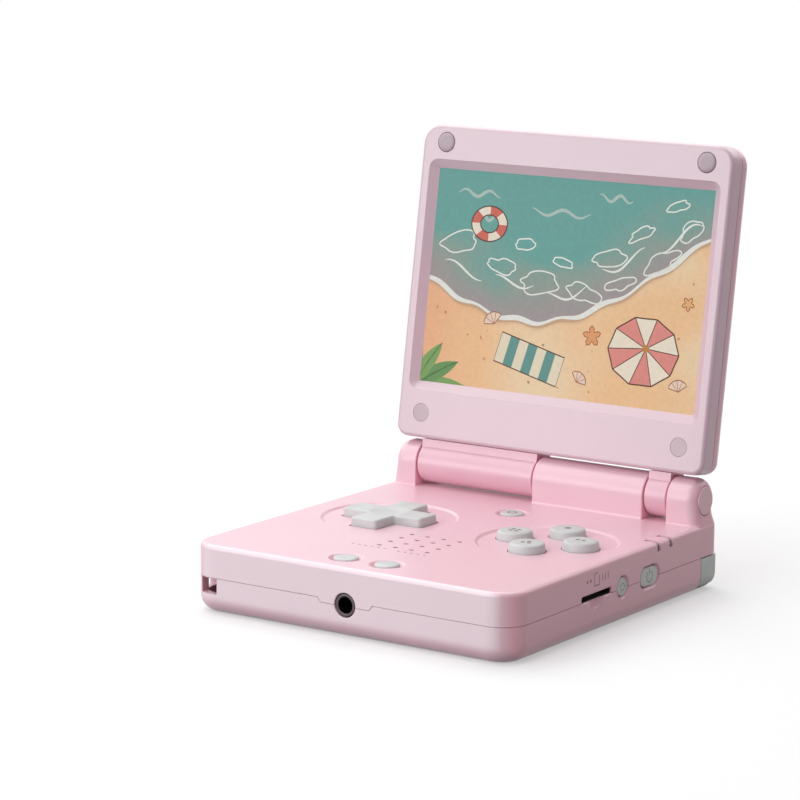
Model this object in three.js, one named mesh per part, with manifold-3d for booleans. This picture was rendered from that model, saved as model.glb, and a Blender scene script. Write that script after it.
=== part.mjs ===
// Clamshell handheld game console, lid open, in millimetres, +Z up.
// Origin: centre of the flat underside. +X is the player's right, +Y runs towards the hinge.
import * as THREE from 'three';
import { mergeVertices } from 'three/addons/utils/BufferGeometryUtils.js';
import Module from 'manifold-3d';

const wasm = await Module();
wasm.setup();

// Base case
const bodyWidth = 84.9;
const bodyDepth = 89;
const lowerHeight = 8.3;
const upperHeight = 7.4;
const seamGap = 0.16;
const bodyCornerRadius = 6.6;
const rearCornerRadius = 3.2;
const leastCornerRadius = 0.3;
const bottomFillet = 3.8;
const topFillet = 1.1;
const sideWall = 1.8;
const floorThickness = 1.8;
const ceilingThickness = 1.9;
const cavityCornerRadius = 4.8;
const overrun = 2;
const mergeTolerance = 0.0001;
const seatGap = 0.15;
const runningGap = 0.3;

// Seam step round the headphone jack
const stepHalfWidth = 6.8;
const stepDrop = 1.1;
const stepDepth = 3;

// Hinge
const earRadius = 5.1;
const barrelInset = 0.2;
const barrelFloorGap = 0.3;
const earInset = 1.05;
const earCornerRadius = 3.2;
const earTopRounding = 3.2;
const leftEarWidth = 6.3;
const rightEarWidth = 7.5;
const shortBarrelLength = 6.3;
const blockLeftX = -2.2;
const longBarrelBore = 3.2;
const shortBarrelBore = 1.75;
const openDegrees = 98.9;

// Hinge hardware
const capRadius = 3.3;
const capThickness = 1.2;
const capProud = 0.15;
const capPegLength = 1.6;
const pinRadius = 1.5;
const pinBoreRadius = 1.65;
const pinBlockReach = 5;
const pinEarReach = 3.6;
const cartridgeRadius = 2.95;
const cartridgeCableGap = 4.2;
const cartridgeEndInset = 0.6;
const shaftRadius = 1.3;
const shaftBoreRadius = 1.45;
const shaftEarReach = 3;
const shaftCartridgeReach = 9;
const bushOuterRadius = 2.9;
const bushInnerRadius = 1.9;
const bushBarrelReach = 3.4;
const bushBlockReach = 3.6;

// Controls on the top face
const buttonCeilingGap = 0.12;
const flangeThickness = 0.8;
const flangeReach = 0.9;
const buttonClearance = 0.25;
const buttonFoot = 3.25;
const faceSideInset = 20.5;
const faceCentreY = 2.6;
const facePitch = 8.6;
const faceTopRadius = 3.9;
const faceBaseRadius = 4.2;
const faceRise = 1.5;
const faceTravel = 1;
const faceEdge = 0.4;
const faceDishRadius = 16.5;
const faceDishDepth = 0.5;
const dpadSideInset = 22.05;
const dpadCentreY = 2.2;
const dpadArm = 10.8;
const dpadHalfWidth = 3.6;
const dpadRise = 1.55;
const dpadEdge = 0.35;
const dpadClearance = 0.55;
const dpadFlangeRadius = 9;
const dpadFlangeDrop = 0.9;
const dpadFlangeThickness = 0.8;
const dpadDishRadius = 16.2;
const dpadDishDepth = 0.45;
const dpadHollowRadius = 2.3;
const dpadHollowDepth = 0.5;
const rockerRadius = 2.2;
const rockerGap = 0.25;
const rockerFootGap = 0.25;
const smallButtonRadius = 2.8;
const smallButtonRise = 0.2;
const smallTravel = 0.5;
const travelGap = 0.15;
const smallDishRadius = 3.9;
const smallDishDepth = 0.8;
const menuX = 0;
const menuHingeInset = 16.9;
const selectX = -5.4;
const selectFrontInset = 8.2;

// Speaker grille
const speakerY = -15.6;
const speakerHoleRadius = 0.6;
const speakerPitch = 4.25;
const speakerRowCount = 4;
const speakerRadius = 8.2;
const speakerHeight = 3;
const speakerRimHeight = 0.7;
const speakerRimWidth = 1;
const speakerCeilingGap = 0.2;

// Right side: card slot, reset, power, lamps
const slotCentreY = -10.1;
const slotWidth = 12.4;
const slotHeight = 1.4;
const scoopRadius = 3.6;
const scoopDepth = 1.1;
const resetY = 1.1;
const resetRadius = 2;
const sideButtonRise = 0.3;
const sideButtonClearance = 0.22;
const sideDish = 0.55;
const sideDishDepth = 0.5;
const sideButtonInset = 0.15;
const sideButtonFlange = 0.6;
const sideFlangeThickness = 0.8;
const sideFlangeGap = 0.7;
const powerY = 12.9;
const powerLength = 7.6;
const powerHeight = 4.2;
const lampFrontY = 16.7;
const lampRearY = 22.1;
const lampWidth = 1.4;
const lampReachX = 3.6;
const lampReachZ = 2;
const lampSink = 0.5;

// Left side: second card slot and volume rocker
const leftSlotFrontInset = 22.5;
const volumeY = 4;
const volumeLength = 16;
const volumeHeight = 3;
const volumeProud = 0.5;
const volumeBodyDepth = 1.6;

// Front: headphone jack; front left corner: strap bar
const jackDrop = 0.9;
const jackHoleRadius = 1.8;
const jackRingRadius = 2.6;
const jackBodyWidth = 6.4;
const jackBodyLength = 12;
const jackBodyDrop = 2.3;
const jackNoseLength = 1.4;
const jackSocketDepth = 11;
const strapReach = 3.05;
const strapWidth = 4.8;
const strapHeight = 3.6;
const strapTopDrop = 0.1;
const strapDepth = 3.85;

// Rear: shoulder buttons and ports
const shoulderWidth = 12.85;
const shoulderLength = 8.2;
const shoulderCornerRadius = 2.2;
const shoulderBottomZ = 1.4;
const shoulderGap = 0.3;
const shoulderSkin = 1.6;
const shoulderPost = 1.2;
const innerShoulderWidth = 7.6;
const innerShoulderBottomZ = 3.1;
const innerShoulderDrop = 0.8;
const innerShoulderCorner = 1;
const portDrop = 2.6;
const portSpacing = 2;
const usbWidth = 9.1;
const usbHeight = 3.3;
const usbShellWall = 0.35;
const usbDepth = 7.4;
const videoWidth = 11.2;
const videoHeight = 3.3;
const videoDepth = 7.6;
const portClearance = 0.2;
const portTongueHeight = 0.7;
const portTongueWallShare = 0.6;

// Inside the base
const boardSideMargin = 9.25;
const boardFrontMargin = 4.5;
const boardRearMargin = 14.5;
const boardNotchMargin = 2.3;
const boardNotchGap = 0.35;
const boardDrop = 5.3;
const boardThickness = 1.2;
const membraneGap = 0.1;
const membraneThickness = 0.7;
const domeRadius = 2.2;
const domeTopRadius = 1.5;
const domeHeight = 0.75;
const membraneMargin = 2.6;
const batterySideMargin = 14.45;
const batteryFrontMargin = 18.5;
const batteryRearMargin = 30.5;
const batteryHeadroom = 1.75;
const batteryCorner = 2;
const bayMargin = 1.2;
const bayLedge = 1.6;
const coverThickness = 1;
const bossRadius = 2.4;
const bossBore = 1.15;
const bossSideInset = 6.45;
const bossFrontInset = 8;
const bossRearInset = 18;
const screwHeadRadius = 1.8;
const screwHeadHeight = 1;
const screwShaftRadius = 0.95;
const screwSink = 0.5;
const screwDriveWidth = 0.45;
const screwDriveShare = 0.6;
const screwTipClearance = 0.4;
const coverTabReach = 2.4;
const coverTabRadius = 3.4;
const coverScrewHead = 1.4;
const coverScrewHeadHeight = 0.5;
const coverScrewShaft = 0.7;
const coverScrewLength = 3.4;
const coverScrewSink = 0.15;
const cardBodyDepth = 13.6;
const cardBodyHeight = 1.5;
const cardWallGap = 0.3;
const cardMouthHeight = 0.9;
const cardMouthWidth = 11.4;

// Lid, measured from the hinge axis: along the panel, and back from the axis plane
const faceOffset = 4.4;
const lidNear = 5.7;
const lidSetback = 3.1;
const lidSideInset = 0.35;
const lidThickness = 10.4;
const lidCornerRadius = 4.6;
const lidNearCornerRadius = 3;
const lidFaceFillet = 0.9;
const lidBackFillet = 4.6;
const bezelThickness = 4.6;
const lidWall = 1.7;
const lidSkin = 1.6;
const lidCavityCorner = 4.4;
const viewSideMargin = 4.85;
const viewFarMargin = 10.25;
const viewNearMargin = 13.55;
const screenBevel = 2.05;
const screenRecess = 1.6;
const glassThickness = 0.7;
const glassOverlap = 0.9;
const panelMargin = 1.3;
const panelThickness = 1.7;
const gasketWidth = 0.85;
const gasketThickness = 0.3;
const padSideInset = 7.05;
const padFarInset = 4.1;
const padNearInset = 6;
const bumperRadius = 2.15;
const bumperProud = 0.45;
const bumperDepth = 1;
const bumperRing = 0.35;
const bumperCrown = 0.3;
const plugRing = 0.08;
const lidScrewHeadRadius = 1.3;
const lidScrewHeadHeight = 0.7;
const lidScrewShaftRadius = 0.75;
const lidScrewLength = 5;
const lidBossRadius = 2.9;
const neckFrontInset = 1.1;
const neckOverlap = 2.4;
const neckBackInset = 3.2;
const plateLength = 23.4;
const plateWidth = 6.5;
const plateThickness = 0.5;
const plateFarInset = 6.3;
const plateRecessDepth = 0.4;
const cableWidth = 8;
const cableThickness = 0.35;
const cableRollRadius = 1.6;
const cableX = -11;
const cableSlotGap = 0.5;
const cableRise = 5;

// Facets
const cornerSegments = 6;
const arcSegments = 2;
const filletSteps = 4;
const roundSegments = 16;
const barrelSegments = 32;
const towerSegments = 10;
const holeSegments = 8;

// Sizes and places that follow from those above
const halfWidth = bodyWidth / 2;
const halfDepth = bodyDepth / 2;
const seamHeight = lowerHeight;
const baseHeight = lowerHeight + upperHeight;
const hingeY = halfDepth - earRadius;
const earOuterX = halfWidth - earInset;
const leftEarInnerX = leftEarWidth - earOuterX;
const rightEarInnerX = earOuterX - rightEarWidth;
const blockRightX = rightEarInnerX - shortBarrelLength;
const barrelRadius = earRadius - barrelInset;
const hingeHeight = baseHeight + barrelFloorGap + barrelRadius;
const ceilingZ = baseHeight - ceilingThickness;
const openAngle = THREE.MathUtils.degToRad(openDegrees);
const boardZ = ceilingZ - boardDrop;
const boardTopZ = boardZ + boardThickness;
const faceCentreX = halfWidth - faceSideInset;
const dpadCentreX = dpadSideInset - halfWidth;
const menuY = hingeY - menuHingeInset;
const selectY = selectFrontInset - halfDepth;
const leftSlotY = leftSlotFrontInset - halfDepth;
const slotBottomZ = seamHeight - seamGap / 2;
const sideButtonZ = seamHeight + sideButtonRise;
const jackZ = seamHeight - jackDrop;
const shoulderInnerX = halfWidth - shoulderWidth;
const shoulderFrontY = halfDepth - shoulderLength;
const innerShoulderX = shoulderInnerX - shoulderPost - innerShoulderWidth / 2;
const innerShoulderHeight = seamHeight - innerShoulderDrop - innerShoulderBottomZ;
const innerShoulderZ = innerShoulderBottomZ + innerShoulderHeight / 2;
const portZ = seamHeight - portDrop;
const batteryZ = coverThickness + seatGap;
const batteryWidth = bodyWidth - batterySideMargin - batterySideMargin;
const batteryDepth = bodyDepth - batteryFrontMargin - batteryRearMargin;
const batteryY = (batteryFrontMargin - batteryRearMargin) / 2;
const batteryThickness = boardZ - batteryHeadroom - batteryZ;
const lidFar = hingeY + halfDepth - lidSetback;
const viewWidth = bodyWidth - viewSideMargin - viewSideMargin;
const viewHeight = lidFar - viewFarMargin - lidNear - viewNearMargin;
const viewCentre = lidNear + viewNearMargin + viewHeight / 2;
const padSpanX = halfWidth - padSideInset;

function makeMaterial(color, roughness, metalness) {
  return new THREE.MeshStandardMaterial({ color, roughness, metalness });
}

const materials = {
  shell: makeMaterial(0xf0c3d3, 0.4, 0.1),
  bezel: makeMaterial(0xf0d9e0, 0.45, 0.1),
  button: makeMaterial(0xd2d2d0, 0.5, 0),
  shoulder: makeMaterial(0xa9ada9, 0.5, 0),
  bumper: makeMaterial(0xb09aa2, 0.7, 0),
  plug: makeMaterial(0xc9b3bc, 0.6, 0),
  rubber: makeMaterial(0x55585a, 0.8, 0),
  steel: makeMaterial(0x9a9c9e, 0.3, 1),
  darkMetal: makeMaterial(0x3a3536, 0.35, 0.9),
  glass: makeMaterial(0x5f8a86, 0.1, 0),
  panel: makeMaterial(0x2a2c2e, 0.4, 0),
  lamp: makeMaterial(0xa08a90, 0.3, 0),
  board: makeMaterial(0x1f5a3c, 0.6, 0),
  battery: makeMaterial(0x8f9497, 0.5, 0.2),
  cable: makeMaterial(0xb9772e, 0.5, 0),
  plate: makeMaterial(0x43484a, 0.35, 0.6),
};

const product = new THREE.Group();
const lid = new THREE.Group();
lid.position.set(0, hingeY, hingeHeight);
lid.rotation.x = -openAngle;
product.add(lid);

// Solids

function solidOf(geometry) {
  const bare = geometry.index ? geometry.clone() : geometry;
  bare.deleteAttribute('normal');
  bare.deleteAttribute('uv');
  const merged = mergeVertices(bare, mergeTolerance);
  return new wasm.Manifold(new wasm.Mesh({
    numProp: 3,
    vertProperties: new Float32Array(merged.attributes.position.array),
    triVerts: new Uint32Array(merged.index.array),
  }));
}

function addPart(name, solid, material, parent = product) {
  const mesh = solid.getMesh();
  const geometry = new THREE.BufferGeometry();
  geometry.setAttribute('position', new THREE.BufferAttribute(new Float32Array(mesh.vertProperties), 3));
  geometry.setIndex(new THREE.BufferAttribute(new Uint32Array(mesh.triVerts), 1));
  geometry.computeVertexNormals();
  const part = new THREE.Mesh(geometry, material);
  part.name = name;
  parent.add(part);
  return part;
}

function boxOf(x0, x1, y0, y1, z0, z1) {
  const geometry = new THREE.BoxGeometry(x1 - x0, y1 - y0, z1 - z0);
  geometry.translate((x0 + x1) / 2, (y0 + y1) / 2, (z0 + z1) / 2);
  return solidOf(geometry);
}

function coneZ(lowRadius, highRadius, x, y, z0, z1, segments = roundSegments) {
  const geometry = new THREE.CylinderGeometry(highRadius, lowRadius, z1 - z0, segments);
  geometry.rotateX(Math.PI / 2);
  geometry.translate(x, y, (z0 + z1) / 2);
  return solidOf(geometry);
}

function cylinderZ(radius, x, y, z0, z1, segments = roundSegments) {
  return coneZ(radius, radius, x, y, z0, z1, segments);
}

function cylinderX(radius, x0, x1, y, z, segments = roundSegments) {
  const geometry = new THREE.CylinderGeometry(radius, radius, Math.abs(x1 - x0), segments);
  geometry.rotateZ(Math.PI / 2);
  geometry.translate((x0 + x1) / 2, y, z);
  return solidOf(geometry);
}

function cylinderY(radius, x, z, y0, y1, segments = roundSegments) {
  const geometry = new THREE.CylinderGeometry(radius, radius, y1 - y0, segments);
  geometry.translate(x, (y0 + y1) / 2, z);
  return solidOf(geometry);
}

function roundedRect(halfX, halfY, radius, x = 0, y = 0) {
  const shape = new THREE.Shape();
  shape.absarc(x + halfX - radius, y + halfY - radius, radius, 0, Math.PI / 2);
  shape.absarc(x - halfX + radius, y + halfY - radius, radius, Math.PI / 2, Math.PI);
  shape.absarc(x - halfX + radius, y - halfY + radius, radius, Math.PI, Math.PI * 3 / 2);
  shape.absarc(x + halfX - radius, y - halfY + radius, radius, Math.PI * 3 / 2, Math.PI * 2);
  shape.closePath();
  return shape;
}

function extrude(shape, depth) {
  return new THREE.ExtrudeGeometry(shape, { depth, bevelEnabled: false, curveSegments: arcSegments });
}

// Outline drawn in X and Y, raised from z0 to z1
function prismZ(shape, z0, z1) {
  const geometry = extrude(shape, z1 - z0);
  geometry.translate(0, 0, z0);
  return solidOf(geometry);
}

// Outline drawn in Y and Z, run from x0 to x1
function prismX(shape, x0, x1) {
  const geometry = extrude(shape, x1 - x0);
  geometry.rotateX(Math.PI / 2);
  geometry.rotateZ(Math.PI / 2);
  geometry.translate(x0, 0, 0);
  return solidOf(geometry);
}

// Outline drawn in X and Z, run from y0 to y1
function prismY(shape, y0, y1) {
  const geometry = extrude(shape, y1 - y0);
  geometry.rotateX(Math.PI / 2);
  geometry.translate(0, y1, 0);
  return solidOf(geometry);
}

function ringPoints({ halfX, halfY, radius, rearRadius = radius, z, centreY }) {
  const points = [];
  const corners = [[1, 1], [-1, 1], [-1, -1], [1, -1]];
  corners.forEach(([signX, signY], corner) => {
    const round = signY > 0 ? rearRadius : radius;
    for (let step = 0; step <= cornerSegments; step += 1) {
      const angle = (corner + step / cornerSegments) * Math.PI / 2;
      const x = signX * (halfX - round) + round * Math.cos(angle);
      const y = signY * (halfY - round) + round * Math.sin(angle);
      points.push([x, centreY + y, z]);
    }
  });
  return points;
}

// Closed solid through a stack of rounded rectangles
function loft(rings) {
  const loops = rings.map(ringPoints);
  const count = loops[0].length;
  const last = (loops.length - 1) * count;
  const index = [];
  for (let level = 0; level + 1 < loops.length; level += 1) {
    for (let side = 0; side < count; side += 1) {
      const low = level * count + side;
      const lowNext = level * count + (side + 1) % count;
      index.push(low, lowNext, lowNext + count, low, lowNext + count, low + count);
    }
  }
  for (let side = 1; side + 1 < count; side += 1) {
    index.push(0, side + 1, side);
    index.push(last, last + side, last + side + 1);
  }
  const geometry = new THREE.BufferGeometry();
  geometry.setAttribute('position', new THREE.BufferAttribute(new Float32Array(loops.flat(2)), 3));
  geometry.setIndex(index);
  return solidOf(geometry);
}

// Rings of a rounded slab with a fillet along its low and high edges
function slabRings({
  halfX, halfY, radius, rearRadius = radius, z0, z1, lowFillet = 0, highFillet = 0, centreY = 0,
}) {
  const rings = [];
  const round = (full, inset) => Math.max(full - inset, Math.min(full, leastCornerRadius));
  const ring = (inset, z) => rings.push({
    halfX: halfX - inset, halfY: halfY - inset, radius: round(radius, inset),
    rearRadius: round(rearRadius, inset), z, centreY,
  });
  const lowSteps = lowFillet > 0 ? filletSteps : 0;
  const highSteps = highFillet > 0 ? filletSteps : 0;
  for (let step = 0; step <= lowSteps; step += 1) {
    const angle = lowSteps ? step / lowSteps * Math.PI / 2 : Math.PI / 2;
    ring(lowFillet * (1 - Math.sin(angle)), z0 + lowFillet * (1 - Math.cos(angle)));
  }
  for (let step = 0; step <= highSteps; step += 1) {
    const angle = highSteps ? step / highSteps * Math.PI / 2 : 0;
    ring(highFillet * (1 - Math.cos(angle)), z1 - highFillet * (1 - Math.sin(angle)));
  }
  return rings;
}

function joined(solids) {
  return solids.reduce((sum, solid) => sum.add(solid));
}

// Base case, before it is split at the seam

function bodyBlock(rearRadius) {
  return loft(slabRings({
    halfX: halfWidth, halfY: halfDepth, radius: bodyCornerRadius, rearRadius,
    z0: 0, z1: baseHeight, lowFillet: bottomFillet, highFillet: topFillet,
  }));
}

const bodySolid = bodyBlock(rearCornerRadius);

const cavitySolid = loft(slabRings({
  halfX: halfWidth - sideWall, halfY: halfDepth - sideWall, radius: cavityCornerRadius,
  z0: floorThickness, z1: ceilingZ, lowFillet: bottomFillet - floorThickness,
}));

function seamCut(side) {
  const level = seamHeight + side * seamGap / 2;
  const stepLevel = level - stepDrop;
  const stepHalf = stepHalfWidth - side * seamGap / 2;
  const frontY = -halfDepth - overrun;
  const slab = boxOf(-bodyWidth, bodyWidth, -bodyDepth, bodyDepth, level, hingeHeight + bodyDepth);
  const step = boxOf(-stepHalf, stepHalf, frontY, frontY + overrun + stepDepth, stepLevel, level + overrun);
  return slab.add(step);
}

function towerShape() {
  const shape = new THREE.Shape();
  shape.moveTo(hingeY - earRadius, ceilingZ);
  shape.lineTo(hingeY + earRadius, ceilingZ);
  shape.absarc(hingeY, hingeHeight, earRadius, 0, Math.PI);
  shape.closePath();
  return shape;
}

function tower(x0, x1) {
  const geometry = new THREE.ExtrudeGeometry(towerShape(), {
    depth: x1 - x0, bevelEnabled: false, curveSegments: towerSegments,
  });
  geometry.rotateX(Math.PI / 2);
  geometry.rotateZ(Math.PI / 2);
  geometry.translate(x0, 0, 0);
  return solidOf(geometry);
}

// Plan of the ears with rounded rear corners, drawn in towards the top
function earEnvelope() {
  const topZ = hingeHeight + earRadius;
  const rings = [{ halfX: earOuterX, halfY: halfDepth, radius: earCornerRadius, z: ceilingZ, centreY: 0 }];
  for (let step = 0; step <= filletSteps; step += 1) {
    const angle = step / filletSteps * Math.PI / 2;
    const inset = earTopRounding * (1 - Math.cos(angle));
    rings.push({
      halfX: earOuterX - inset, halfY: halfDepth, radius: earCornerRadius,
      z: topZ - earTopRounding * (1 - Math.sin(angle)), centreY: 0,
    });
  }
  return loft(rings);
}

function hingeTowers() {
  const envelope = earEnvelope();
  const leftEar = tower(-halfWidth, leftEarInnerX).intersect(envelope);
  const rightEar = tower(rightEarInnerX, halfWidth).intersect(envelope);
  return joined([leftEar, tower(blockLeftX, blockRightX), rightEar]);
}

function hingeBores() {
  const capFloor = earOuterX - capThickness;
  const bores = [
    cylinderX(shaftRadius + seatGap, leftEarInnerX - shaftEarReach - seatGap, leftEarInnerX + overrun,
      hingeY, hingeHeight),
    cylinderX(pinBoreRadius, blockRightX - pinBlockReach - seatGap, blockRightX + overrun, hingeY,
      hingeHeight),
    cylinderX(pinBoreRadius, rightEarInnerX - overrun, rightEarInnerX + pinEarReach + seatGap,
      hingeY, hingeHeight),
    cylinderX(bushOuterRadius + seatGap, blockLeftX - overrun, blockLeftX + bushBlockReach + seatGap,
      hingeY, hingeHeight),
  ];
  for (const side of [-1, 1]) {
    bores.push(cylinderX(capRadius + seatGap, side * capFloor, side * (earOuterX + overrun), hingeY,
      hingeHeight, barrelSegments));
    bores.push(cylinderX(pinRadius + seatGap, side * (capFloor - capPegLength - seatGap),
      side * (capFloor + overrun), hingeY, hingeHeight));
  }
  return joined(bores);
}

// Controls

const facePlaces = [
  { name: 'face_button_top', x: faceCentreX, y: faceCentreY + facePitch },
  { name: 'face_button_bottom', x: faceCentreX, y: faceCentreY - facePitch },
  { name: 'face_button_left', x: faceCentreX - facePitch, y: faceCentreY },
  { name: 'face_button_right', x: faceCentreX + facePitch, y: faceCentreY },
];

const smallPlaces = [
  { name: 'menu_button', x: menuX, y: menuY },
  { name: 'select_button', x: selectX, y: selectY },
  { name: 'start_button', x: -selectX, y: selectY },
];

function crossShape(arm, halfThick) {
  const shape = new THREE.Shape();
  const corners = [
    [halfThick, arm], [-halfThick, arm], [-halfThick, halfThick], [-arm, halfThick],
    [-arm, -halfThick], [-halfThick, -halfThick], [-halfThick, -arm], [halfThick, -arm],
    [halfThick, -halfThick], [arm, -halfThick], [arm, halfThick], [halfThick, halfThick],
  ];
  corners.forEach(([x, y], corner) => {
    if (corner === 0) shape.moveTo(dpadCentreX + x, dpadCentreY + y);
    else shape.lineTo(dpadCentreX + x, dpadCentreY + y);
  });
  shape.closePath();
  return shape;
}

function speakerHoles() {
  const holes = [];
  const start = -(speakerRowCount - 1) / 2;
  for (let row = 0; row < speakerRowCount; row += 1) {
    for (let column = 0; column < speakerRowCount; column += 1) {
      const x = (start + column) * speakerPitch;
      const y = speakerY + (start + row) * speakerPitch;
      holes.push(cylinderZ(speakerHoleRadius, x, y, ceilingZ - overrun, baseHeight + overrun, holeSegments));
    }
  }
  return joined(holes);
}

function topFaceCuts() {
  const high = baseHeight + overrun;
  const low = ceilingZ - overrun;
  const cuts = [
    cylinderZ(faceDishRadius, faceCentreX, faceCentreY, baseHeight - faceDishDepth, high, barrelSegments),
    cylinderZ(dpadDishRadius, dpadCentreX, dpadCentreY, baseHeight - dpadDishDepth, high, barrelSegments),
    prismZ(crossShape(dpadArm + dpadClearance, dpadHalfWidth + dpadClearance), low, high),
    speakerHoles(),
  ];
  for (const { x, y } of facePlaces) {
    cuts.push(cylinderZ(faceBaseRadius + buttonClearance, x, y, low, high));
  }
  for (const { x, y } of smallPlaces) {
    cuts.push(cylinderZ(smallButtonRadius + buttonClearance, x, y, low, high));
    cuts.push(coneZ(smallButtonRadius + buttonClearance, smallDishRadius, x, y,
      baseHeight - smallDishDepth, baseHeight));
  }
  return joined(cuts);
}

function stadium(halfLength, halfHeight, y, z) {
  return roundedRect(halfLength, halfHeight, halfHeight, y, z);
}

const sideButtons = [
  { name: 'reset_button', side: 1, y: resetY, halfLength: resetRadius, halfHeight: resetRadius },
  { name: 'power_button', side: 1, y: powerY, halfLength: powerLength / 2, halfHeight: powerHeight / 2 },
];

// Runs an outline in Y and Z through the right side, or through the left one when side is -1
function sidePrism(shape, side, depthIn, depthOut) {
  const inner = halfWidth - depthIn;
  const outer = halfWidth + depthOut;
  return side > 0 ? prismX(shape, inner, outer) : prismX(shape, -outer, -inner);
}

function sideCuts() {
  const cuts = [];
  for (const { side, y, halfLength, halfHeight } of sideButtons) {
    const hole = stadium(halfLength + sideButtonClearance, halfHeight + sideButtonClearance, y, sideButtonZ);
    const dish = stadium(halfLength + sideDish, halfHeight + sideDish, y, sideButtonZ);
    cuts.push(sidePrism(hole, side, sideWall + overrun, overrun));
    cuts.push(sidePrism(dish, side, sideDishDepth, overrun));
  }
  const rocker = stadium(volumeLength / 2 + sideDish, volumeHeight / 2 + sideDish, volumeY, sideButtonZ);
  cuts.push(sidePrism(rocker, -1, sideWall + overrun, overrun));
  for (const { side, y } of cardSlots) {
    const slotZ = slotBottomZ + slotHeight / 2;
    const slot = roundedRect(slotWidth / 2, slotHeight / 2, slotHeight / 4, y, slotZ);
    cuts.push(sidePrism(slot, side, sideWall + overrun, overrun));
  }
  return joined(cuts);
}

const cardSlots = [
  { name: 'card_socket_right', side: 1, y: slotCentreY },
  { name: 'card_socket_left', side: -1, y: leftSlotY },
];

// Thumb scoops under the card slots
function scoopCuts() {
  return joined(cardSlots.map(({ side, y }) => {
    const geometry = new THREE.SphereGeometry(scoopRadius, roundSegments, roundSegments / 2);
    geometry.scale(scoopDepth / scoopRadius, 1, 1);
    geometry.translate(side * halfWidth, y, slotBottomZ + slotHeight / 2);
    return solidOf(geometry);
  }));
}

function lampBox(y, gap) {
  const half = lampWidth / 2 + gap;
  return boxOf(halfWidth - lampReachX - gap, halfWidth + overrun, y - half, y + half,
    baseHeight - lampReachZ - gap, baseHeight + overrun);
}

function jackCuts() {
  const frontY = -halfDepth;
  return cylinderY(jackRingRadius + seatGap, 0, jackZ, frontY - overrun, frontY + sideWall + overrun);
}

// Two windows at the front left corner that meet behind a post, for a wrist strap
function strapCuts() {
  const topZ = seamHeight - strapTopDrop;
  const lowZ = topZ - strapHeight;
  const nearX = -halfWidth + strapReach;
  const nearY = -halfDepth + strapReach;
  const front = boxOf(nearX, nearX + strapWidth, -halfDepth - overrun, -halfDepth + strapDepth, lowZ, topZ);
  const side = boxOf(-halfWidth - overrun, -halfWidth + strapDepth, nearY, nearY + strapWidth, lowZ, topZ);
  return front.add(side);
}

function bossPlaces() {
  const places = [];
  for (const y of [bossFrontInset - halfDepth, halfDepth - bossRearInset]) {
    for (const x of [bossSideInset - halfWidth, halfWidth - bossSideInset]) places.push({ x, y });
  }
  return places;
}

function caseBosses(z0, z1) {
  return joined(bossPlaces().map(({ x, y }) => cylinderZ(bossRadius, x, y, z0, z1)));
}

function caseBores() {
  const boreTop = ceilingZ - ceilingThickness / 2;
  const headRoom = screwSink + screwHeadHeight + seatGap;
  return joined(bossPlaces().flatMap(({ x, y }) => [
    cylinderZ(bossBore, x, y, -overrun, boreTop),
    cylinderZ(screwHeadRadius + seatGap, x, y, -overrun, headRoom),
  ]));
}

// Shoulder buttons and ports in the rear wall of the lower shell

function shoulderZone(side, gap) {
  const inner = shoulderInnerX - gap;
  const outer = halfWidth + overrun;
  const top = gap > 0 ? seamHeight + overrun : seamHeight - shoulderGap;
  const [x0, x1] = side > 0 ? [inner, outer] : [-outer, -inner];
  return boxOf(x0, x1, shoulderFrontY - gap, halfDepth + overrun, shoulderBottomZ - gap, top);
}

function innerShoulderShape(side, growX, growZ) {
  return roundedRect(innerShoulderWidth / 2 + growX, innerShoulderHeight / 2 + growZ, innerShoulderCorner,
    side * innerShoulderX, innerShoulderZ);
}

const ports = [
  { name: 'usb_port', x: -(portSpacing + usbWidth) / 2, width: usbWidth, height: usbHeight, depth: usbDepth,
    corner: usbHeight / 2 },
  { name: 'video_port', x: (portSpacing + videoWidth) / 2, width: videoWidth, height: videoHeight,
    depth: videoDepth, corner: videoHeight / 4 },
];

function rearPrism(shape, depthIn, depthOut) {
  return prismY(shape, halfDepth - depthIn, halfDepth + depthOut);
}

function portShape({ x, width, height, corner }, grow) {
  return roundedRect(width / 2 + grow, height / 2 + grow, corner + grow, x, portZ);
}

function rearCuts() {
  const cuts = [];
  for (const side of [-1, 1]) {
    cuts.push(shoulderZone(side, shoulderGap));
    cuts.push(rearPrism(innerShoulderShape(side, buttonClearance, buttonClearance), sideWall + overrun,
      overrun));
  }
  for (const port of ports) {
    cuts.push(rearPrism(portShape(port, portClearance), sideWall + overrun, overrun));
  }
  return joined(cuts);
}

// Battery bay in the floor

const bayHalfX = batteryWidth / 2 + bayMargin;
const bayHalfY = batteryDepth / 2 + bayMargin;
const coverTabY = batteryY + bayHalfY + bayLedge + coverTabReach;

function coverShape(gap) {
  return roundedRect(bayHalfX + bayLedge - gap, bayHalfY + bayLedge - gap, batteryCorner, 0, batteryY);
}

function bayCuts() {
  const opening = prismZ(roundedRect(bayHalfX, bayHalfY, batteryCorner, 0, batteryY), -overrun,
    floorThickness + overrun);
  const recess = prismZ(coverShape(0), -overrun, coverThickness + seatGap);
  const tab = cylinderZ(coverTabRadius, 0, coverTabY, -overrun, coverThickness + seatGap);
  const bore = cylinderZ(coverScrewShaft + seatGap, 0, coverTabY, -overrun,
    coverScrewSink + coverScrewHeadHeight + coverScrewLength + seatGap);
  return joined([opening, recess, tab, bore]);
}

function coverBoss() {
  const top = coverScrewSink + coverScrewHeadHeight + coverScrewLength + coverThickness;
  return cylinderZ(bossRadius, 0, coverTabY, floorThickness / 2, top);
}

// Both shells

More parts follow.
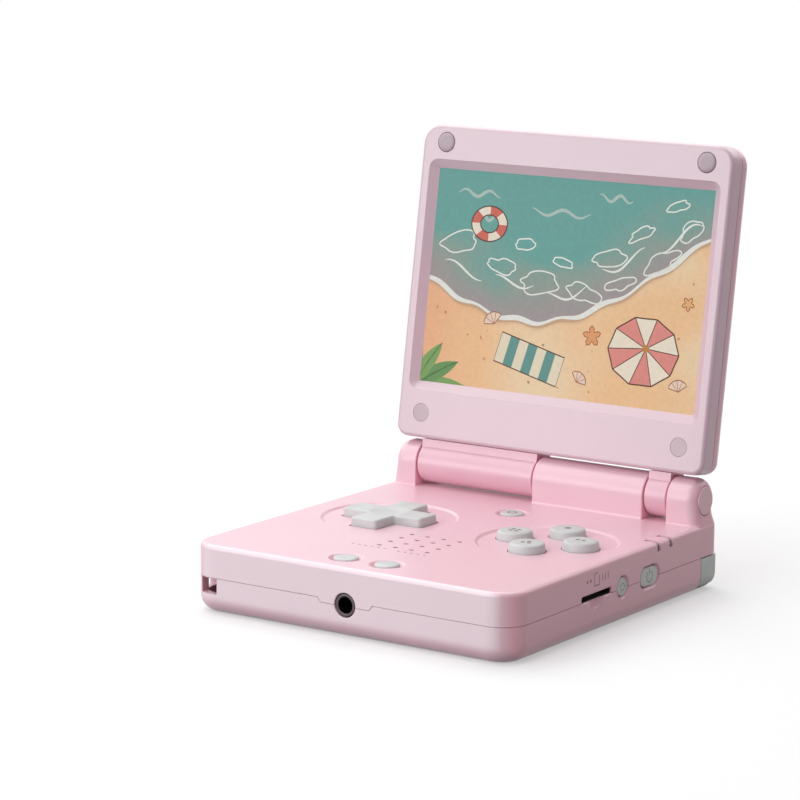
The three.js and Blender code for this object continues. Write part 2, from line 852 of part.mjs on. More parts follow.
function buildShells() {
  const shell = bodySolid.subtract(cavitySolid);
  const wallCuts = joined([sideCuts(), jackCuts()]);
  const upper = seamCut(1);
  const lower = seamCut(-1);
  const lamps = lampBox(lampFrontY, seatGap).add(lampBox(lampRearY, seatGap));
  const top = shell.intersect(upper)
    .add(hingeTowers())
    .add(caseBosses(seamHeight + seamGap, ceilingZ + seamGap))
    .subtract(topFaceCuts())
    .subtract(hingeBores())
    .subtract(wallCuts)
    .subtract(lamps)
    .subtract(caseBores());
  const bottom = shell.subtract(lower)
    .subtract(rearCuts())
    .subtract(bayCuts())
    .add(caseBosses(floorThickness / 2, seamHeight - seamGap))
    .add(coverBoss())
    .subtract(bayCuts())
    .subtract(caseBores())
    .subtract(wallCuts)
    .subtract(scoopCuts())
    .subtract(strapCuts());
  addPart('base_top_shell', top, materials.shell);
  addPart('base_bottom_shell', bottom, materials.shell);
}

function buildBatteryCover() {
  const plate = prismZ(coverShape(seatGap), 0, coverThickness);
  const tab = cylinderZ(coverTabRadius - seatGap, 0, coverTabY, 0, coverThickness);
  const headTop = coverScrewSink + coverScrewHeadHeight;
  const head = cylinderZ(coverScrewHead + seatGap, 0, coverTabY, -overrun, headTop);
  const bore = cylinderZ(coverScrewShaft + seatGap, 0, coverTabY, -overrun, overrun);
  addPart('battery_cover', plate.add(tab).subtract(head).subtract(bore), materials.shell);
  const pack = prismZ(roundedRect(batteryWidth / 2, batteryDepth / 2, batteryCorner, 0, batteryY), batteryZ,
    batteryZ + batteryThickness);
  addPart('battery_pack', pack, materials.battery);
}

function screw({ x, y, z, headRadius, headHeight, shaftRadius, length }) {
  const head = cylinderZ(headRadius, x, y, z, z + headHeight, roundSegments);
  const shank = cylinderZ(shaftRadius, x, y, z + headHeight / 2, z + headHeight + length, holeSegments);
  const half = screwDriveWidth / 2;
  const reach = headRadius * screwDriveShare;
  const slotTop = z + headHeight * screwDriveShare;
  const slotOne = boxOf(x - half, x + half, y - reach, y + reach, z - overrun, slotTop);
  const slotTwo = boxOf(x - reach, x + reach, y - half, y + half, z - overrun, slotTop);
  return head.add(shank).subtract(slotOne).subtract(slotTwo);
}

function buildCaseScrews() {
  const boreTop = ceilingZ - ceilingThickness / 2;
  bossPlaces().forEach(({ x, y }, number) => {
    const solid = screw({
      x, y, z: screwSink, headRadius: screwHeadRadius, headHeight: screwHeadHeight,
      shaftRadius: screwShaftRadius, length: boreTop - screwSink - screwHeadHeight - screwTipClearance,
    });
    addPart(`case_screw_${number + 1}`, solid, materials.steel);
  });
  const solid = screw({
    x: 0, y: coverTabY, z: coverScrewSink, headRadius: coverScrewHead,
    headHeight: coverScrewHeadHeight - seatGap, shaftRadius: coverScrewShaft, length: coverScrewLength,
  });
  addPart('battery_cover_screw', solid, materials.steel);
}

function buildHingeHardware() {
  const capFloor = earOuterX - capThickness;
  for (const [side, name] of [[-1, 'hinge_cap_left'], [1, 'hinge_cap_right']]) {
    const disc = cylinderX(capRadius, side * (capFloor + seatGap), side * (earOuterX + capProud), hingeY,
      hingeHeight, barrelSegments);
    const peg = cylinderX(pinRadius, side * (capFloor - capPegLength), side * (capFloor + capThickness / 2),
      hingeY, hingeHeight);
    addPart(name, disc.add(peg), materials.shell);
  }
  addPart('hinge_pin', cylinderX(pinRadius, blockRightX - pinBlockReach, rightEarInnerX + pinEarReach, hingeY,
    hingeHeight), materials.steel);
  const shaftEnd = leftEarInnerX + runningGap + cartridgeEndInset + shaftCartridgeReach;
  addPart('hinge_shaft', cylinderX(shaftRadius, leftEarInnerX - shaftEarReach, shaftEnd, hingeY, hingeHeight),
    materials.steel);
  const bushEnd = blockLeftX - runningGap - bushBarrelReach;
  const bush = cylinderX(bushOuterRadius, bushEnd, blockLeftX + bushBlockReach, hingeY, hingeHeight);
  const hole = cylinderX(bushInnerRadius, bushEnd - overrun, blockLeftX + bushBlockReach + overrun, hingeY,
    hingeHeight);
  addPart('hinge_bush', bush.subtract(hole), materials.darkMetal);
}

// Buttons on the top face

const domeTopZ = boardTopZ + membraneGap + membraneThickness + domeHeight;

function buildFaceButtons() {
  const topZ = baseHeight + faceRise;
  const flangeZ = ceilingZ - buttonCeilingGap;
  for (const { name, x, y } of facePlaces) {
    const solid = joined([
      cylinderZ(buttonFoot, x, y, domeTopZ + faceTravel + travelGap, flangeZ),
      cylinderZ(faceBaseRadius + flangeReach, x, y, flangeZ - flangeThickness, flangeZ),
      coneZ(faceBaseRadius, faceTopRadius + faceEdge / 2, x, y, flangeZ - flangeThickness / 2,
        topZ - faceEdge),
      coneZ(faceTopRadius + faceEdge / 2, faceTopRadius - faceEdge / 2, x, y, topZ - faceEdge, topZ),
    ]);
    addPart(name, solid, materials.button);
  }
}

function buildSmallButtons() {
  const topZ = baseHeight + smallButtonRise;
  const flangeZ = ceilingZ - buttonCeilingGap;
  for (const { name, x, y } of smallPlaces) {
    const solid = joined([
      cylinderZ(smallButtonRadius - flangeReach, x, y, domeTopZ + smallTravel + travelGap, flangeZ),
      cylinderZ(smallButtonRadius + flangeReach, x, y, flangeZ - flangeThickness, flangeZ),
      cylinderZ(smallButtonRadius, x, y, flangeZ - flangeThickness / 2, topZ),
    ]);
    addPart(name, solid, materials.button);
  }
}

function buildDpad() {
  const flangeTop = ceilingZ - dpadFlangeDrop;
  const flangeLow = flangeTop - dpadFlangeThickness;
  const topZ = baseHeight + dpadRise;
  const hollow = cylinderZ(dpadHollowRadius + buttonClearance, dpadCentreX, dpadCentreY, flangeLow - overrun,
    flangeLow + dpadHollowDepth);
  const solid = joined([
    cylinderZ(dpadFlangeRadius, dpadCentreX, dpadCentreY, flangeLow, flangeTop, barrelSegments),
    prismZ(crossShape(dpadArm, dpadHalfWidth), flangeLow, topZ - dpadEdge),
    prismZ(crossShape(dpadArm - dpadEdge, dpadHalfWidth - dpadEdge), flangeTop, topZ),
  ]).subtract(hollow);
  addPart('dpad', solid, materials.button);
  addPart('dpad_rocker', cylinderZ(rockerRadius, dpadCentreX, dpadCentreY, boardTopZ + rockerFootGap,
    flangeLow + dpadHollowDepth - rockerGap), materials.rubber);
}

// Silicone key mats with one dome under each button
function keyMat(name, domes, plate) {
  const low = boardTopZ + membraneGap;
  const high = low + membraneThickness;
  const bumps = domes.map(({ x, y }) => coneZ(domeRadius, domeTopRadius, x, y, high - membraneGap,
    high + domeHeight));
  addPart(name, joined([plate(low, high), ...bumps]), materials.rubber);
}

function buildKeyMats() {
  keyMat('face_key_mat', facePlaces, (low, high) => joined([
    ...facePlaces.map(({ x, y }) => cylinderZ(domeRadius + membraneMargin, x, y, low, high)),
    cylinderZ(facePitch - membraneMargin, faceCentreX, faceCentreY, low, high),
  ]));
  const dpadDomes = [[1, 0], [-1, 0], [0, 1], [0, -1]].map(([stepX, stepY]) => ({
    x: dpadCentreX + stepX * (dpadArm - domeRadius), y: dpadCentreY + stepY * (dpadArm - domeRadius),
  }));
  keyMat('dpad_key_mat', dpadDomes, (low, high) => {
    const disc = cylinderZ(dpadArm + membraneMargin / 2, dpadCentreX, dpadCentreY, low, high, barrelSegments);
    const hole = cylinderZ(rockerRadius + membraneMargin / 2, dpadCentreX, dpadCentreY, low - overrun,
      high + overrun);
    return disc.subtract(hole);
  });
  const margin = domeRadius + membraneMargin / 4;
  const optionShape = roundedRect(-selectX + margin, margin, domeRadius, 0, selectY);
  keyMat('option_key_mat', smallPlaces.slice(1), (low, high) => prismZ(optionShape, low, high));
  keyMat('menu_key_mat', smallPlaces.slice(0, 1),
    (low, high) => cylinderZ(margin, menuX, menuY, low, high));
}

// Buttons in the side walls

function buildSideButtons() {
  for (const { name, side, y, halfLength, halfHeight } of sideButtons) {
    const body = sidePrism(stadium(halfLength, halfHeight, y, sideButtonZ), side,
      sideWall + seatGap + sideFlangeThickness, -sideButtonInset);
    const flangeShape = stadium(halfLength + sideButtonFlange, halfHeight + sideButtonFlange, y, sideButtonZ);
    const flange = sidePrism(flangeShape, side, sideWall + seatGap + sideFlangeThickness,
      -(sideWall + seatGap));
    addPart(name, body.add(flange), materials.button);
  }
  const rocker = sidePrism(stadium(volumeLength / 2, volumeHeight / 2, volumeY, sideButtonZ), -1,
    sideWall, volumeProud);
  const back = sidePrism(stadium(volumeLength / 2 + sideButtonFlange, volumeHeight / 2 + sideButtonFlange,
    volumeY, sideButtonZ), -1, sideWall + volumeBodyDepth, -(sideWall + sideFlangeGap));
  const neck = sidePrism(stadium(volumeHeight, volumeHeight / 2, volumeY, sideButtonZ), -1,
    sideWall + volumeBodyDepth, 0);
  addPart('volume_rocker', joined([rocker, back, neck]), materials.button);
}

function buildLamps() {
  const inner = loft(slabRings({
    halfX: halfWidth - lampSink, halfY: halfDepth - lampSink, radius: rearCornerRadius - lampSink,
    z0: floorThickness, z1: baseHeight - lampSink, highFillet: topFillet - lampSink,
  }));
  for (const [name, y] of [['lamp_front', lampFrontY], ['lamp_rear', lampRearY]]) {
    addPart(name, lampBox(y, 0).intersect(inner), materials.lamp);
  }
}

// Rear buttons and ports

function buildShoulders() {
  const outer = bodyBlock(shoulderCornerRadius);
  const inner = prismZ(roundedRect(halfWidth - shoulderSkin, halfDepth - shoulderSkin,
    rearCornerRadius - shoulderSkin), -overrun, baseHeight);
  for (const [side, name] of [[-1, 'shoulder_outer_left'], [1, 'shoulder_outer_right']]) {
    addPart(name, outer.intersect(shoulderZone(side, 0)).subtract(inner), materials.shoulder);
  }
  for (const [side, name] of [[-1, 'shoulder_inner_left'], [1, 'shoulder_inner_right']]) {
    const cap = rearPrism(innerShoulderShape(side, 0, 0), sideWall + seatGap + flangeThickness, overrun)
      .intersect(bodySolid);
    const flange = rearPrism(innerShoulderShape(side, flangeReach, 0), sideWall + seatGap + flangeThickness,
      -(sideWall + seatGap));
    addPart(name, cap.add(flange), materials.shoulder);
  }
}

function buildPorts() {
  for (const port of ports) {
    const { name, width, height, depth, x } = port;
    const body = rearPrism(portShape(port, 0), depth, -seatGap);
    const mouth = rearPrism(portShape(port, -usbShellWall), depth - sideWall, overrun);
    const tongue = boxOf(x - width / 2 * portTongueWallShare, x + width / 2 * portTongueWallShare,
      halfDepth - depth + sideWall / 2, halfDepth - sideWall / 2,
      portZ - portTongueHeight / 2, portZ + portTongueHeight / 2);
    addPart(name, body.subtract(mouth).add(tongue), materials.steel);
  }
}

function buildCardSockets() {
  for (const { name, side, y } of cardSlots) {
    const half = slotWidth / 2;
    const z = slotBottomZ + slotHeight / 2;
    const body = roundedRect(half + cardWallGap, cardBodyHeight / 2, cardWallGap, y, z);
    const mouth = roundedRect(cardMouthWidth / 2, cardMouthHeight / 2, cardWallGap, y, z);
    const outer = -(sideWall + cardWallGap);
    const solid = sidePrism(body, side, sideWall + cardWallGap + cardBodyDepth, outer)
      .subtract(sidePrism(mouth, side, cardBodyDepth, overrun));
    addPart(name, solid, materials.darkMetal);
  }
}

const jackBodyY = sideWall + seatGap - halfDepth;

function buildJack() {
  const frontY = -halfDepth;
  const body = boxOf(-jackBodyWidth / 2, jackBodyWidth / 2, jackBodyY, jackBodyY + jackBodyLength,
    jackZ - jackBodyDrop, boardTopZ);
  const nose = cylinderY(jackRingRadius, 0, jackZ, frontY + seatGap,
    jackBodyY + jackNoseLength);
  const bore = cylinderY(jackHoleRadius, 0, jackZ, frontY - overrun, frontY + jackSocketDepth);
  addPart('headphone_jack', body.add(nose).subtract(bore), materials.darkMetal);
}

function buildSpeaker() {
  const high = ceilingZ - speakerCeilingGap;
  const rim = cylinderZ(speakerRadius, 0, speakerY, high - speakerRimHeight, high, barrelSegments);
  const basket = cylinderZ(speakerRadius - speakerRimWidth, 0, speakerY, high - speakerHeight,
    high - speakerRimHeight / 2, barrelSegments);
  addPart('speaker', rim.add(basket), materials.darkMetal);
}

function buildBoard() {
  const notch = slotWidth / 2 + cardWallGap + runningGap;
  const notchX = halfWidth - sideWall - cardWallGap - cardBodyDepth - runningGap;
  const boardHalfX = halfWidth - boardSideMargin;
  const frontY = boardFrontMargin - halfDepth;
  const board = boxOf(-boardHalfX, boardHalfX, frontY, halfDepth - boardRearMargin, boardZ, boardTopZ);
  const cuts = cardSlots.map(({ side, y }) => {
    const [x0, x1] = side > 0 ? [notchX, halfWidth] : [-halfWidth, -notchX];
    return boxOf(x0, x1, y - notch, y + notch, boardZ - overrun, boardTopZ + overrun);
  });
  const jackNotch = jackBodyWidth / 2 + boardNotchMargin;
  cuts.push(boxOf(-jackNotch, jackNotch, frontY - overrun, jackBodyY + jackBodyLength + boardNotchGap,
    boardZ - overrun, boardTopZ + overrun));
  addPart('main_board', board.subtract(joined(cuts)), materials.board);
}

// Lid, built closed about its hinge axis: the panel runs towards -Y with its face down

const lidHalfX = halfWidth - lidSideInset;
const lidHalfY = (lidFar - lidNear) / 2;
const lidCentreY = -(lidFar + lidNear) / 2;
const faceZ = -faceOffset;
const backZ = faceZ + lidThickness;
const partingZ = faceZ + bezelThickness;
const viewY = -viewCentre;

const lidSolid = loft(slabRings({
  halfX: lidHalfX, halfY: lidHalfY, radius: lidCornerRadius, rearRadius: lidNearCornerRadius,
  centreY: lidCentreY, z0: faceZ, z1: backZ, lowFillet: lidFaceFillet, highFillet: lidBackFillet,
}));

const lidCavity = loft(slabRings({
  halfX: lidHalfX - lidWall, halfY: lidHalfY - lidWall, radius: lidCavityCorner, centreY: lidCentreY,
  z0: faceZ + lidSkin, z1: backZ - lidSkin, highFillet: lidBackFillet - lidSkin,
}));

const lidPads = [
  { name: 'bumper_left', x: -padSpanX, y: padFarInset - lidFar, ring: bumperRing },
  { name: 'bumper_right', x: padSpanX, y: padFarInset - lidFar, ring: bumperRing },
  { name: 'plug_left', x: -padSpanX, y: -lidNear - padNearInset, ring: plugRing },
  { name: 'plug_right', x: padSpanX, y: -lidNear - padNearInset, ring: plugRing },
];

const lidScrewZ = faceZ + bumperDepth + seatGap + seatGap;

function lidBosses(z0, z1) {
  return joined(lidPads.map(({ x, y }) => cylinderZ(lidBossRadius, x, y, z0, z1)));
}

function lidBores() {
  const headTop = lidScrewZ + lidScrewHeadHeight + seatGap;
  const boreTop = lidScrewZ + lidScrewHeadHeight + lidScrewLength + seatGap;
  return joined(lidPads.flatMap(({ x, y, ring }) => [
    cylinderZ(bumperRadius + ring, x, y, faceZ - overrun, faceZ + bumperDepth + seatGap),
    cylinderZ(lidScrewHeadRadius + seatGap, x, y, faceZ, headTop),
    cylinderZ(lidScrewShaftRadius + seatGap, x, y, faceZ, boreTop, holeSegments),
  ]));
}

function screenOpening() {
  const ring = (grow, z) => ({
    halfX: viewWidth / 2 + grow, halfY: viewHeight / 2 + grow, radius: grow + overrun / 2, z, centreY: viewY,
  });
  const recess = loft([ring(screenBevel + screenBevel, faceZ - screenRecess), ring(0, faceZ + screenRecess)]);
  const opening = loft([ring(0, faceZ), ring(0, faceZ + lidSkin + overrun)]);
  return recess.add(opening);
}

function buildBezel() {
  const front = boxOf(-bodyWidth, bodyWidth, -lidFar - overrun, 0, faceZ - overrun, partingZ - seamGap / 2);
  const solid = lidSolid.subtract(lidCavity)
    .intersect(front)
    .add(lidBosses(faceZ + lidSkin / 2, partingZ - seamGap / 2))
    .subtract(lidBores())
    .subtract(screenOpening());
  addPart('lid_bezel', solid, materials.bezel, lid);
}

const barrels = [
  { x0: leftEarInnerX + runningGap, x1: blockLeftX - runningGap, bore: longBarrelBore },
  { x0: blockRightX + runningGap, x1: rightEarInnerX - runningGap, bore: shortBarrelBore },
];

const neckBackZ = backZ - neckBackInset;
const cableZ = (partingZ + neckBackZ) / 2;

// Barrels on the hinge axis with the necks that carry the lid
function lidHinge() {
  return joined(barrels.flatMap(({ x0, x1 }) => [
    cylinderX(barrelRadius, x0, x1, 0, 0, barrelSegments),
    boxOf(x0, x1, -lidNear + seatGap, 0, faceZ + neckFrontInset, neckBackZ),
    boxOf(x0, x1, -lidNear - neckOverlap, 0, partingZ + seamGap / 2, neckBackZ),
  ]));
}

function lidHingeBores() {
  const slotHalf = cableThickness / 2 + cableSlotGap / 2;
  const cuts = barrels.map(({ x0, x1, bore }) => cylinderX(bore, x0 - overrun, x1 + overrun, 0, 0));
  cuts.push(boxOf(cableX - cableWidth / 2 - cableSlotGap, cableX + cableWidth / 2 + cableSlotGap,
    -lidNear - neckOverlap - overrun, 0, cableZ - slotHalf, cableZ + slotHalf));
  return joined(cuts);
}

const plateY = plateFarInset + plateWidth / 2 - lidFar;

function plateShape(grow) {
  return roundedRect(plateLength / 2 + grow, plateWidth / 2 + grow, plateWidth / 2 + grow, 0, plateY);
}

function buildBackCover() {
  const back = boxOf(-bodyWidth, bodyWidth, -lidFar - overrun, 0, partingZ + seamGap / 2, backZ + overrun);
  const plateRecess = prismZ(plateShape(seatGap), backZ - plateRecessDepth, backZ + overrun);
  const solid = lidSolid.subtract(lidCavity)
    .intersect(back)
    .add(lidBosses(partingZ + seamGap / 2, backZ - lidSkin / 2))
    .add(lidHinge())
    .subtract(lidHingeBores())
    .subtract(lidBores())
    .subtract(plateRecess);
  addPart('lid_back_cover', solid, materials.shell, lid);
  const low = backZ - plateRecessDepth + seamGap / 2;
  addPart('name_plate', prismZ(plateShape(0), low, low + plateThickness), materials.plate, lid);
}

function buildScreen() {
  const ring = (grow, z) => ({
    halfX: viewWidth / 2 + grow, halfY: viewHeight / 2 + grow, radius: overrun / 2, z, centreY: viewY,
  });
  const glassZ = faceZ + lidSkin + seamGap / 2;
  const step = loft([
    ring(-seamGap / 2, faceZ + screenRecess),
    ring(-seamGap / 2, glassZ + glassThickness / 2),
  ]);
  const glass = loft([ring(glassOverlap, glassZ), ring(glassOverlap, glassZ + glassThickness)]);
  addPart('display_glass', glass.add(step), materials.glass, lid);
  const gasketZ = glassZ + glassThickness + seamGap / 2;
  const inner = glassOverlap - gasketWidth;
  const hole = loft([ring(inner, gasketZ - overrun), ring(inner, gasketZ + overrun)]);
  const gasket = loft([ring(glassOverlap, gasketZ), ring(glassOverlap, gasketZ + gasketThickness)]);
  addPart('display_gasket', gasket.subtract(hole), materials.rubber, lid);
  const panelZ = gasketZ + gasketThickness + seamGap / 2;
  const panel = loft([ring(panelMargin, panelZ), ring(panelMargin, panelZ + panelThickness)]);
  addPart('display_panel', panel, materials.panel, lid);
}

function buildLidPads() {
  lidPads.forEach(({ name, x, y, ring }, number) => {
    const disc = cylinderZ(bumperRadius, x, y, faceZ, faceZ + bumperDepth);
    const crown = joined([
      cylinderZ(bumperRadius, x, y, faceZ - bumperProud + bumperCrown, faceZ + bumperDepth / 2),
      coneZ(bumperRadius - bumperCrown, bumperRadius, x, y, faceZ - bumperProud,
        faceZ - bumperProud + bumperCrown),
    ]);
    const proud = ring === bumperRing;
    addPart(name, proud ? disc.add(crown) : disc, proud ? materials.bumper : materials.plug, lid);
    const solid = screw({
      x, y, z: lidScrewZ, headRadius: lidScrewHeadRadius, headHeight: lidScrewHeadHeight,
      shaftRadius: lidScrewShaftRadius, length: lidScrewLength,
    });
    addPart(`lid_screw_${number + 1}`, solid, materials.steel, lid);
  });
}

function buildLidHinge() {
  const start = leftEarInnerX + runningGap + cartridgeEndInset;
  const left = cableX - cableWidth / 2;
  const end = left - cartridgeCableGap;
  const body = cylinderX(cartridgeRadius, start, end, 0, 0);
  const bore = cylinderX(shaftBoreRadius, start - overrun, end + overrun, 0, 0);
  addPart('hinge_cartridge', body.subtract(bore), materials.darkMetal, lid);
  const right = cableX + cableWidth / 2;
  const roll = cylinderX(cableRollRadius, left, blockLeftX, 0, 0);
  const ribbon = boxOf(left, right, -lidNear - lidWall - cableRise, 0, cableZ - cableThickness / 2,
    cableZ + cableThickness / 2);
  addPart('display_cable', roll.add(ribbon), materials.cable, lid);
}

buildShells();
buildBatteryCover();
buildCaseScrews();
buildHingeHardware();
buildFaceButtons();
buildSmallButtons();
buildDpad();
buildKeyMats();
buildSideButtons();
buildLamps();
buildShoulders();
buildPorts();
buildCardSockets();
buildJack();
buildSpeaker();
buildBoard();
buildBezel();
buildBackCover();
buildScreen();
buildLidPads();
buildLidHinge();

export default product;
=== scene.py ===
import random
from math import cos, hypot, pi, radians, sin

import bmesh
import bpy
from mathutils import Matrix, Vector
from mathutils.noise import noise as smooth_noise


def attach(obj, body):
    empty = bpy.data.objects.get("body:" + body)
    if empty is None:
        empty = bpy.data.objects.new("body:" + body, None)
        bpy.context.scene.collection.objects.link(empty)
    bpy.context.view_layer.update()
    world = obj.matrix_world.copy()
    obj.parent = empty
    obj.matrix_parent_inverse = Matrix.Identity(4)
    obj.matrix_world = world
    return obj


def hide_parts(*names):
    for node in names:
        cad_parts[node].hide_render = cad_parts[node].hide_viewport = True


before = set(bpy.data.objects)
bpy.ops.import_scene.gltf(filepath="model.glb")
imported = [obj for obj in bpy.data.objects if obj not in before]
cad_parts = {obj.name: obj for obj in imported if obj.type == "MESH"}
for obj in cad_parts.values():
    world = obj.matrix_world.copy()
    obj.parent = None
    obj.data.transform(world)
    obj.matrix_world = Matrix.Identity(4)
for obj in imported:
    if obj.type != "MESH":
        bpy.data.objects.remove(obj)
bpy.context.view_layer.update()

MM = 0.001

# Base case
HALF_X, HALF_Y, TOP = 42.45, 44.5, 15.7
SEAM, SEAM_GAP = 8.3, 0.12
CEILING = 13.8
BODY_CORNER, REAR_CORNER, TOP_FILLET, BOTTOM_FILLET = 6.6, 3.2, 1.1, 3.8

# Hinge
HINGE_Y, HINGE_Z = 39.4, 20.9
EAR_R, BARREL_R = 5.1, 4.9
EAR_X = 41.4
LEFT_EAR, RIGHT_EAR, BLOCK = (-EAR_X, -35.1), (33.9, EAR_X), (-2.2, 27.6)
BARRELS = [(-34.8, -2.5, 3.2), (27.9, 33.6, 1.75)]

# Controls
FACE_X, FACE_Y, FACE_PITCH = 21.95, 2.6, 8.6
PAD_X, PAD_Y, PAD_ARM, PAD_HALF = -20.4, 2.2, 10.8, 3.6
SMALL = {"menu_button": (0, 22.5), "select_button": (-5.4, -36.3), "start_button": (5.4, -36.3)}
FACES = {f"face_button_{side}": (FACE_X + dx * FACE_PITCH, FACE_Y + dy * FACE_PITCH)
         for side, dx, dy in (("top", 0, 1), ("bottom", 0, -1), ("left", -1, 0), ("right", 1, 0))}
SIDE_Z = 8.6
# Keys in the side walls: half length, half height and Y
RESET, POWER, ROCKER = (2.0, 2.0, 1.1), (3.8, 2.1, 12.9), (8.0, 1.5, 4.0)
SLOT_Z = 8.92
SLOTS = [(1, -10.1), (-1, -22.0)]
JACK_Z = 7.4
SPEAKER_Y, HOLE_PITCH = -15.6, 4.25
HOLES = [((column - 1.5) * HOLE_PITCH, (row - 1.5) * HOLE_PITCH) for row in range(4) for column in range(4)]
LAMP_Y = {"lamp_front": 16.7, "lamp_rear": 22.1}
SHOULDER_X = 29.6
INNER_SHOULDER = (5.3, 3.8, 2.2, 1.0)  # Z, half width, half height and corner
INNER_SHOULDER_X = 24.6
STRAP_Z = (4.6, 8.2)

# Lid, measured shut and about its hinge
FACE_Z, BACK_Z, PARTING = -4.4, 6.0, 0.2
LID_Y, LID_HALF_X, LID_HALF_Y = -43.25, 42.1, 37.55
VIEW_HX, VIEW_HY, VIEW_Y = 37.6, 25.65, -44.9
RECESS = 1.6
BADGE_Y = -71.25
OPEN_ANGLE = 98.9
LID_MATRIX = Matrix.Translation((0, HINGE_Y, HINGE_Z)) @ Matrix.Rotation(radians(-OPEN_ANGLE), 4, "X")
FAR, PAST = 60, 50  # reach of cutters past the object

# ---- solids


def linked(name, data):
    obj = bpy.data.objects.new(name, data)
    bpy.context.scene.collection.objects.link(obj)
    return obj


def solid(verts, faces):
    mesh = bpy.data.meshes.new("solid")
    mesh.from_pydata([tuple(v) for v in verts], [], faces)
    mesh.update()
    return linked("solid", mesh)


def loft(rings):
    """Closed solid through rings of equal count, each counter-clockwise seen from the last ring."""
    count = len(rings[0])
    verts = [p for ring in rings for p in ring]
    faces = [list(range(count))[::-1]]
    for level in range(len(rings) - 1):
        low = level * count
        for side in range(count):
            after = (side + 1) % count
            faces.append([low + side, low + after, low + count + after, low + count + side])
    last = (len(rings) - 1) * count
    faces.append([last + side for side in range(count)])
    return solid(verts, faces)


def rounded(half_x, half_y, radius, x=0.0, y=0.0, steps=16, rear=None):
    """Outline of a rounded rectangle as flat points, with its own radius at the two +Y corners if given."""
    points = []
    for corner, (sx, sy) in enumerate([(1, 1), (-1, 1), (-1, -1), (1, -1)]):
        r = max(min(radius if sy < 0 or rear is None else rear, half_x, half_y), 1e-3)
        for step in range(steps + 1):
            a = (corner + step / steps) * pi / 2
            points.append((x + sx * (half_x - r) + r * cos(a), y + sy * (half_y - r) + r * sin(a)))
    return points


def oval(x, y, rx, ry, angles):
    return [(x + rx * cos(a), y + ry * sin(a)) for a in angles]


def circle(radius, count, x=0.0, y=0.0):
    return oval(x, y, radius, radius, [2 * pi * i / count for i in range(count)])


def quarter(steps):
    """(sine, cosine) pairs from 0 to 90 degrees."""
    return [(sin(a), cos(a)) for a in (step / steps * pi / 2 for step in range(steps + 1))]


def spun(points, turn, x, y):
    """Flat points turned about the origin, then moved."""
    sine, cosine = sin(turn), cos(turn)
    return [(x + px * cosine - py * sine, y + px * sine + py * cosine) for px, py in points]


def level(points, z):
    return [(x, y, z) for x, y in points]


AXES = {
    "Z": Matrix.Identity(3),
    "X": Matrix(((0, 0, 1), (1, 0, 0), (0, 1, 0))),
    "-X": Matrix(((0, 0, -1), (-1, 0, 0), (0, 1, 0))),
    "Y": Matrix(((-1, 0, 0), (0, 0, 1), (0, 1, 0))),
    "-Y": Matrix(((1, 0, 0), (0, 0, -1), (0, 1, 0))),
}


def turned(obj, axis, place):
    """Turns a solid drawn along +Z to run along an axis, then moves it."""
    obj.data.transform(Matrix.Translation(place) @ AXES[axis].to_4x4())
    if AXES[axis].determinant() < 0:
        obj.data.flip_normals()
    return obj


def stack(outline, profile, axis="Z", place=(0, 0, 0)):
    """Solid whose ring at each (grow, z) of the profile is outline(grow)."""
    return turned(loft([level(outline(grow), z) for grow, z in profile]), axis, place)


def lathe(profile, axis="Z", place=(0, 0, 0), count=96):
    """Solid of revolution through (radius, height) points."""
    return stack(lambda r: circle(max(r, 0.004), count), profile, axis, place)


def cylinder(radius, z0, z1, axis, place, edge=0.0, count=96):
    if not edge:
        return lathe([(radius, z0), (radius, z1)], axis, place, count)
    return lathe(rounded_profile(radius, z0, z1, edge, edge), axis, place, count)


def rounded_profile(grow, z0, z1, low, high, steps=5):
    """(grow, z) points of a side wall with rounded low and high edges."""
    turns = quarter(steps)
    start = [(grow - low * (1 - s), z0 + low * (1 - c)) for s, c in turns] if low else [(grow, z0)]
    end = [(grow - high * (1 - c), z1 - high * (1 - s)) for s, c in turns] if high else [(grow, z1)]
    return start + end


def box(x0, x1, y0, y1, z0, z1):
    return loft([[(x0, y0, z), (x1, y0, z), (x1, y1, z), (x0, y1, z)] for z in (z0, z1)])


def slab(half_x, half_y, radius, z0, z1, low=0.0, high=0.0, centre_y=0.0, corner=24, rear=None):
    """Rounded slab with filleted low and high edges, and its own radius at the two +Y corners if given."""
    rear = radius if rear is None else rear
    rings = []
    for grow, z in rounded_profile(0, z0, z1, low, high, 12):
        front_r, rear_r = (max(r + grow, min(r, 0.3)) for r in (radius, rear))
        rings.append(level(rounded(half_x + grow, half_y + grow, front_r, 0, centre_y, corner, rear_r), z))
    return loft(rings)


def remove(obj):
    mesh = obj.data
    bpy.data.objects.remove(obj)
    bpy.data.meshes.remove(mesh)


def triangulate(mesh):
    work = bmesh.new()
    work.from_mesh(mesh)
    bmesh.ops.triangulate(work, faces=work.faces[:])
    work.to_mesh(mesh)
    work.free()


def boolean(target, tool, operation):
    """Changes the target and removes the tool. The exact solver takes over where the fast one fails."""
    triangulate(target.data)
    triangulate(tool.data)
    for solver in ("MANIFOLD", "EXACT"):
        modifier = target.modifiers.new("boolean", "BOOLEAN")
        modifier.operation, modifier.solver, modifier.object = operation, solver, tool
        depsgraph = bpy.context.evaluated_depsgraph_get()
        mesh = bpy.data.meshes.new_from_object(target.evaluated_get(depsgraph))
        target.modifiers.clear()
        if solver == "EXACT" or len(mesh.vertices) not in (0, len(target.data.vertices)):
            break
        bpy.data.meshes.remove(mesh)
    old = target.data
    target.data = mesh
    bpy.data.meshes.remove(old)
    remove(tool)
    return target


def cut(target, *tools):
    for tool in tools:
        boolean(target, tool, "DIFFERENCE")
    return target


def add(target, *tools):
    for tool in tools:
        boolean(target, tool, "UNION")
    return target


def common(target, tool):
    return boolean(target, tool, "INTERSECT")


